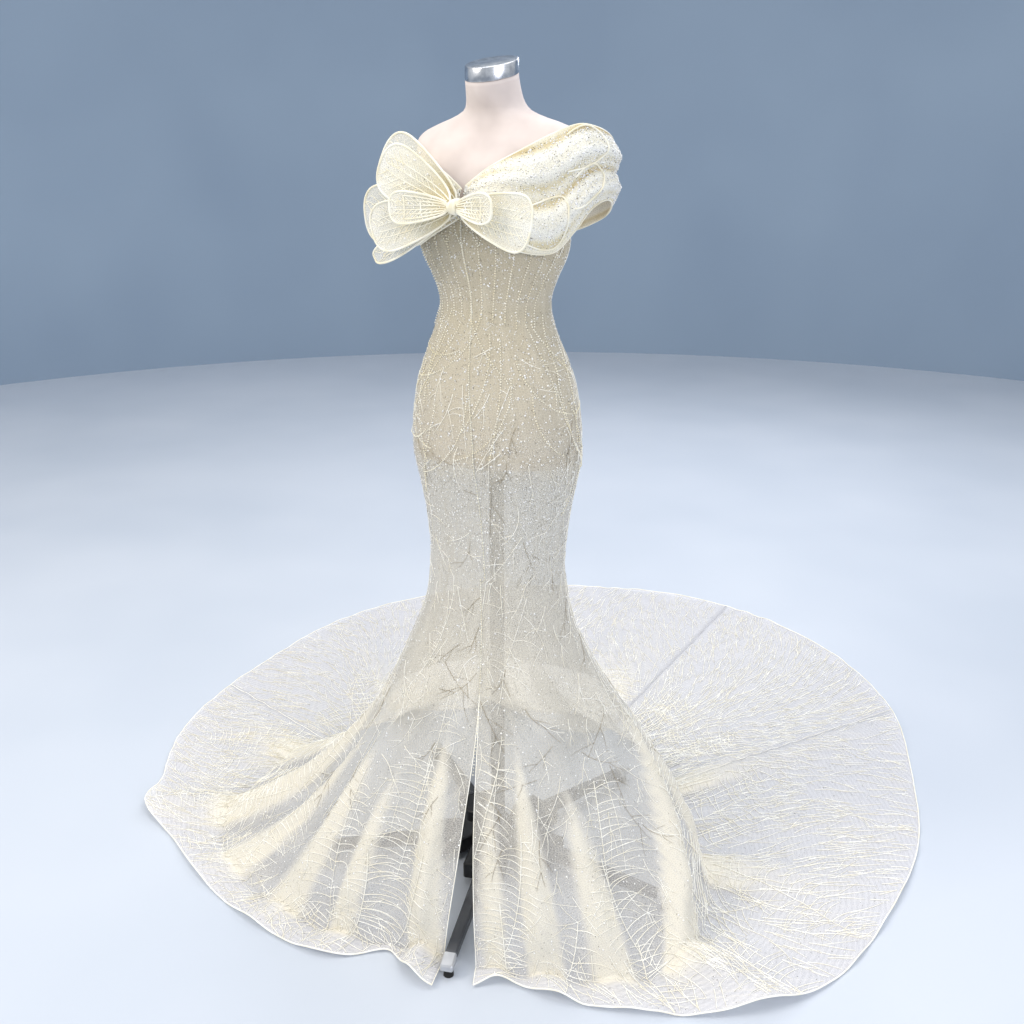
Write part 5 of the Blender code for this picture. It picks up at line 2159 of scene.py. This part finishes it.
@dataclass
class Form:
    """The torso with its neck and chrome cap."""

    columns: int = 96
    rows: int = 110
    neck_foot: float = 1.655
    neck_top: float = 1.722
    cap_height: float = 0.026
    cap_radius: float = 0.0512
    cap_slant: float = 0.27
    cap_edge: float = 0.0022
    gap: float = 0.0003

    def place(self, u: np.ndarray, w: np.ndarray) -> tuple[np.ndarray, np.ndarray, np.ndarray]:
        """Lay the torso's skin.

        Args:
            u: Shares of the way round.
            w: Shares of the way down.

        Returns:
            Points, how far down each lies, and zeros, as nothing is gathered.
        """
        height = self.neck_top + (FORM_FOOT - self.neck_top) * w
        section = along(FORM, "height", height)
        angle = np.radians(-180.0 + 360.0 * u)
        depth = np.where(np.cos(angle) > 0, section["front"], section["back"])
        y = -depth * np.cos(angle)
        tilt = self.cap_slant * smoothstep((height - self.neck_foot) / (self.neck_top - self.neck_foot))
        points = [section["half_width"] * np.sin(angle), section["centre_y"] + y, height + tilt * y]
        return np.stack(points, 1), w, np.zeros(len(w))

    def build(self, wardrobe: Wardrobe) -> None:
        """Build the torso and the cap.

        Args:
            wardrobe: The finishes.
        """
        mesh, _ = cloth_grid("torso", self.columns, self.rows, self.place, closed=True)
        work = bmesh.new()
        work.from_mesh(mesh)
        bmesh.ops.holes_fill(work, edges=[edge for edge in work.edges if edge.is_boundary], sides=0)
        work.to_mesh(mesh)
        work.free()
        torso = finish_mesh("torso_skin", mesh, [wardrobe.of(JERSEY)])
        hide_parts("form_torso")
        neck = FORM[-1]
        work = bmesh.new()
        bmesh.ops.create_cone(
            work, cap_ends=True, segments=72, radius1=self.cap_radius, radius2=self.cap_radius,
            depth=self.cap_height,
        )
        bevelled(work, self.cap_edge, 3)
        middle = self.neck_top + self.gap + self.cap_height / 2.0
        for vert in work.verts:
            vert.co.z += middle + self.cap_slant * vert.co.y
        bmesh.ops.translate(work, vec=(AXIS[0], AXIS[1] + neck.centre_y, 0.0), verts=work.verts)
        mesh = mesh_of("cap", work)
        cap = finish_mesh("neck_cap_polished", mesh, [wardrobe.of(CHROME)])
        mesh.set_sharp_from_angle(angle=math.radians(50))
        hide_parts("neck_cap")


@dataclass
class Stand:
    """The pole, the hub and the five legs, which keep the solids' shape."""

    finishes: tuple[tuple[str, Mottled], ...] = (
        ("pole", STEEL),
        ("base_hub", BLACK_ABS),
        ("leg_socket_", BLACK_ABS),
        ("leg_cap_", SILVER_ABS),
        ("leg_", STEEL),
        ("foot_", RUBBER),
    )

    def build(self, wardrobe: Wardrobe) -> None:
        """Give each solid its finish.

        Args:
            wardrobe: The finishes.
        """
        for name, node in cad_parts.items():
            for start, finish in self.finishes:
                if name.startswith(start):
                    node.data.materials.clear()
                    node.data.materials.append(wardrobe.of(finish))
                    break


class Light(NamedTuple):
    """A soft round light: its place from the pole, its size in metres and its power in watts."""

    name: str
    place: tuple[float, float, float]
    size: float
    power: float
    colour: str


@dataclass
class Studio:
    """The floor, the soft lights and the camera at the photograph's angle."""

    camera_offset: tuple[float, float, float] = (1.12858, -1.88876, 1.60)
    camera_pitch: float = 71.2
    camera_turn: float = 30.0
    lens: float = 37.93
    sensor: float = 36.0
    world: str = "#DDE2E8"
    world_strength: float = 0.9
    floor_radius: float = 40.0
    floor_drop: float = 0.0005
    wall_radius: float = 6.0
    wall_height: float = 5.5
    wall_reach: float = 0.35
    aim: tuple[float, float, float] = (0.0, 0.1, 0.8)
    lights: tuple[Light, ...] = (
        Light("key", (-2.4, -3.0, 3.8), 2.8, 130.0, "#FFF7EC"),
        Light("fill", (3.6, -2.0, 2.4), 3.0, 70.0, "#F6F6FF"),
        Light("top", (0.0, 0.6, 5.2), 4.5, 110.0, "#FFFFFF"),
        Light("back", (-0.6, 4.0, 3.2), 2.6, 60.0, "#F6F8FF"),
    )

    def build(self, wardrobe: Wardrobe) -> None:
        """Build the studio.

        Args:
            wardrobe: The finishes.
        """
        self.lay_floor(wardrobe)
        self.put_wall(wardrobe)
        for light in self.lights:
            self.hang(light)
        self.fill_world()
        self.put_camera()

    def lay_floor(self, wardrobe: Wardrobe) -> None:
        """Lay the floor, just under the gown's.

        Args:
            wardrobe: The finishes.
        """
        work = bmesh.new()
        bmesh.ops.create_circle(work, cap_ends=True, segments=64, radius=self.floor_radius)
        bmesh.ops.translate(work, vec=(0.0, 0.0, -self.floor_drop), verts=work.verts)
        mesh = mesh_of("floor", work)
        mesh.materials.append(wardrobe.of(STUDIO_FLOOR))
        add_object("studio_floor", mesh)

    def put_wall(self, wardrobe: Wardrobe) -> None:
        """Put up the part of a round wall that stands behind the gown.

        Args:
            wardrobe: The finishes.
        """
        work = bmesh.new()
        bmesh.ops.create_circle(work, cap_ends=False, segments=96, radius=self.wall_radius)
        turn = math.radians(self.camera_turn)
        view = Vector((-math.sin(turn), math.cos(turn)))
        near = [vert for vert in work.verts if vert.co.xy.normalized().dot(view) < self.wall_reach]
        bmesh.ops.delete(work, geom=near, context="VERTS")
        rim = bmesh.ops.extrude_edge_only(work, edges=work.edges)["geom"]
        top = [item for item in rim if isinstance(item, bmesh.types.BMVert)]
        bmesh.ops.translate(work, vec=(0.0, 0.0, self.wall_height), verts=top)
        mesh = mesh_of("wall", work)
        mesh.materials.append(wardrobe.of(STUDIO_WALL))
        mesh.shade_smooth()
        add_object("studio_wall", mesh)

    def hang(self, light: Light) -> None:
        """Hang a round soft light that faces the gown.

        Args:
            light: Its place, size, power and colour.
        """
        lamp = bpy.data.lights.new(light.name, "AREA")
        lamp.shape = "DISK"
        lamp.size = light.size
        lamp.energy = light.power
        lamp.color = linear(light.colour)[:3]
        holder = add_object(light.name, lamp)
        holder.location = Vector(AXIS) + Vector(light.place)
        aim = Vector(AXIS) + Vector(self.aim) - holder.location
        holder.rotation_euler = aim.to_track_quat("-Z", "Y").to_euler()

    def fill_world(self) -> None:
        """Light the room evenly, and show its colours as they are."""
        world = bpy.data.worlds.new("studio")
        world.use_nodes = True
        background = world.node_tree.nodes["Background"]
        background.inputs["Color"].default_value = linear(self.world)
        background.inputs["Strength"].default_value = self.world_strength
        bpy.context.scene.world = world
        bpy.context.scene.view_settings.view_transform = "Standard"

    def put_camera(self) -> None:
        """Put the camera where the photograph was taken from."""
        lens = bpy.data.cameras.new("camera")
        lens.lens = self.lens
        lens.sensor_width = self.sensor
        camera = add_object("camera", lens)
        x, y, z = self.camera_offset
        camera.location = (AXIS[0] + x, AXIS[1] + y, z)
        camera.rotation_euler = (math.radians(self.camera_pitch), 0.0, math.radians(self.camera_turn))
        bpy.context.scene.camera = camera


SHAPE = GownShape()


def main() -> None:
    """Build everything, in order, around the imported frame."""
    logging.basicConfig(level=logging.INFO, format="%(message)s")
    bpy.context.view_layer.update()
    wardrobe = Wardrobe()
    Form().build(wardrobe)
    Stand().build(wardrobe)
    Lining().build(wardrobe)
    beads = BodiceBeads().build(wardrobe)
    LOG.info("beads: %s", beads.name)
    for panel in (
        Panel("panel_front_right", -1, True, 130, 112, 34, 130, 420, 9000),
        Panel("panel_front_left", 1, True, 120, 112, 34, 130, 420, 9000),
        Panel("panel_back_right", -1, False, 84, 96, 26, 160, 1300, 4500),
        Panel("panel_back_left", 1, False, 84, 96, 22, 120, 700, 4000),
    ):
        panel.build(wardrobe)
    lobes = ((0.42, 0.22, 0.13, 0.20), (0.44, 0.62, 0.10, 0.19), (0.26, 0.74, 0.11, 0.21))
    Drape("drape_left", DRAPE_LEFT, 1, 6000, lobes=lobes).build(wardrobe)
    Drape("drape_right", DRAPE_RIGHT, -1, 4500, lobes=lobes[:2]).build(wardrobe)
    for cut in PETALS:
        Petal(cut).build(wardrobe)
    Knot().build(wardrobe)
    Studio().build(wardrobe)


if __name__ == "__main__":
    main()
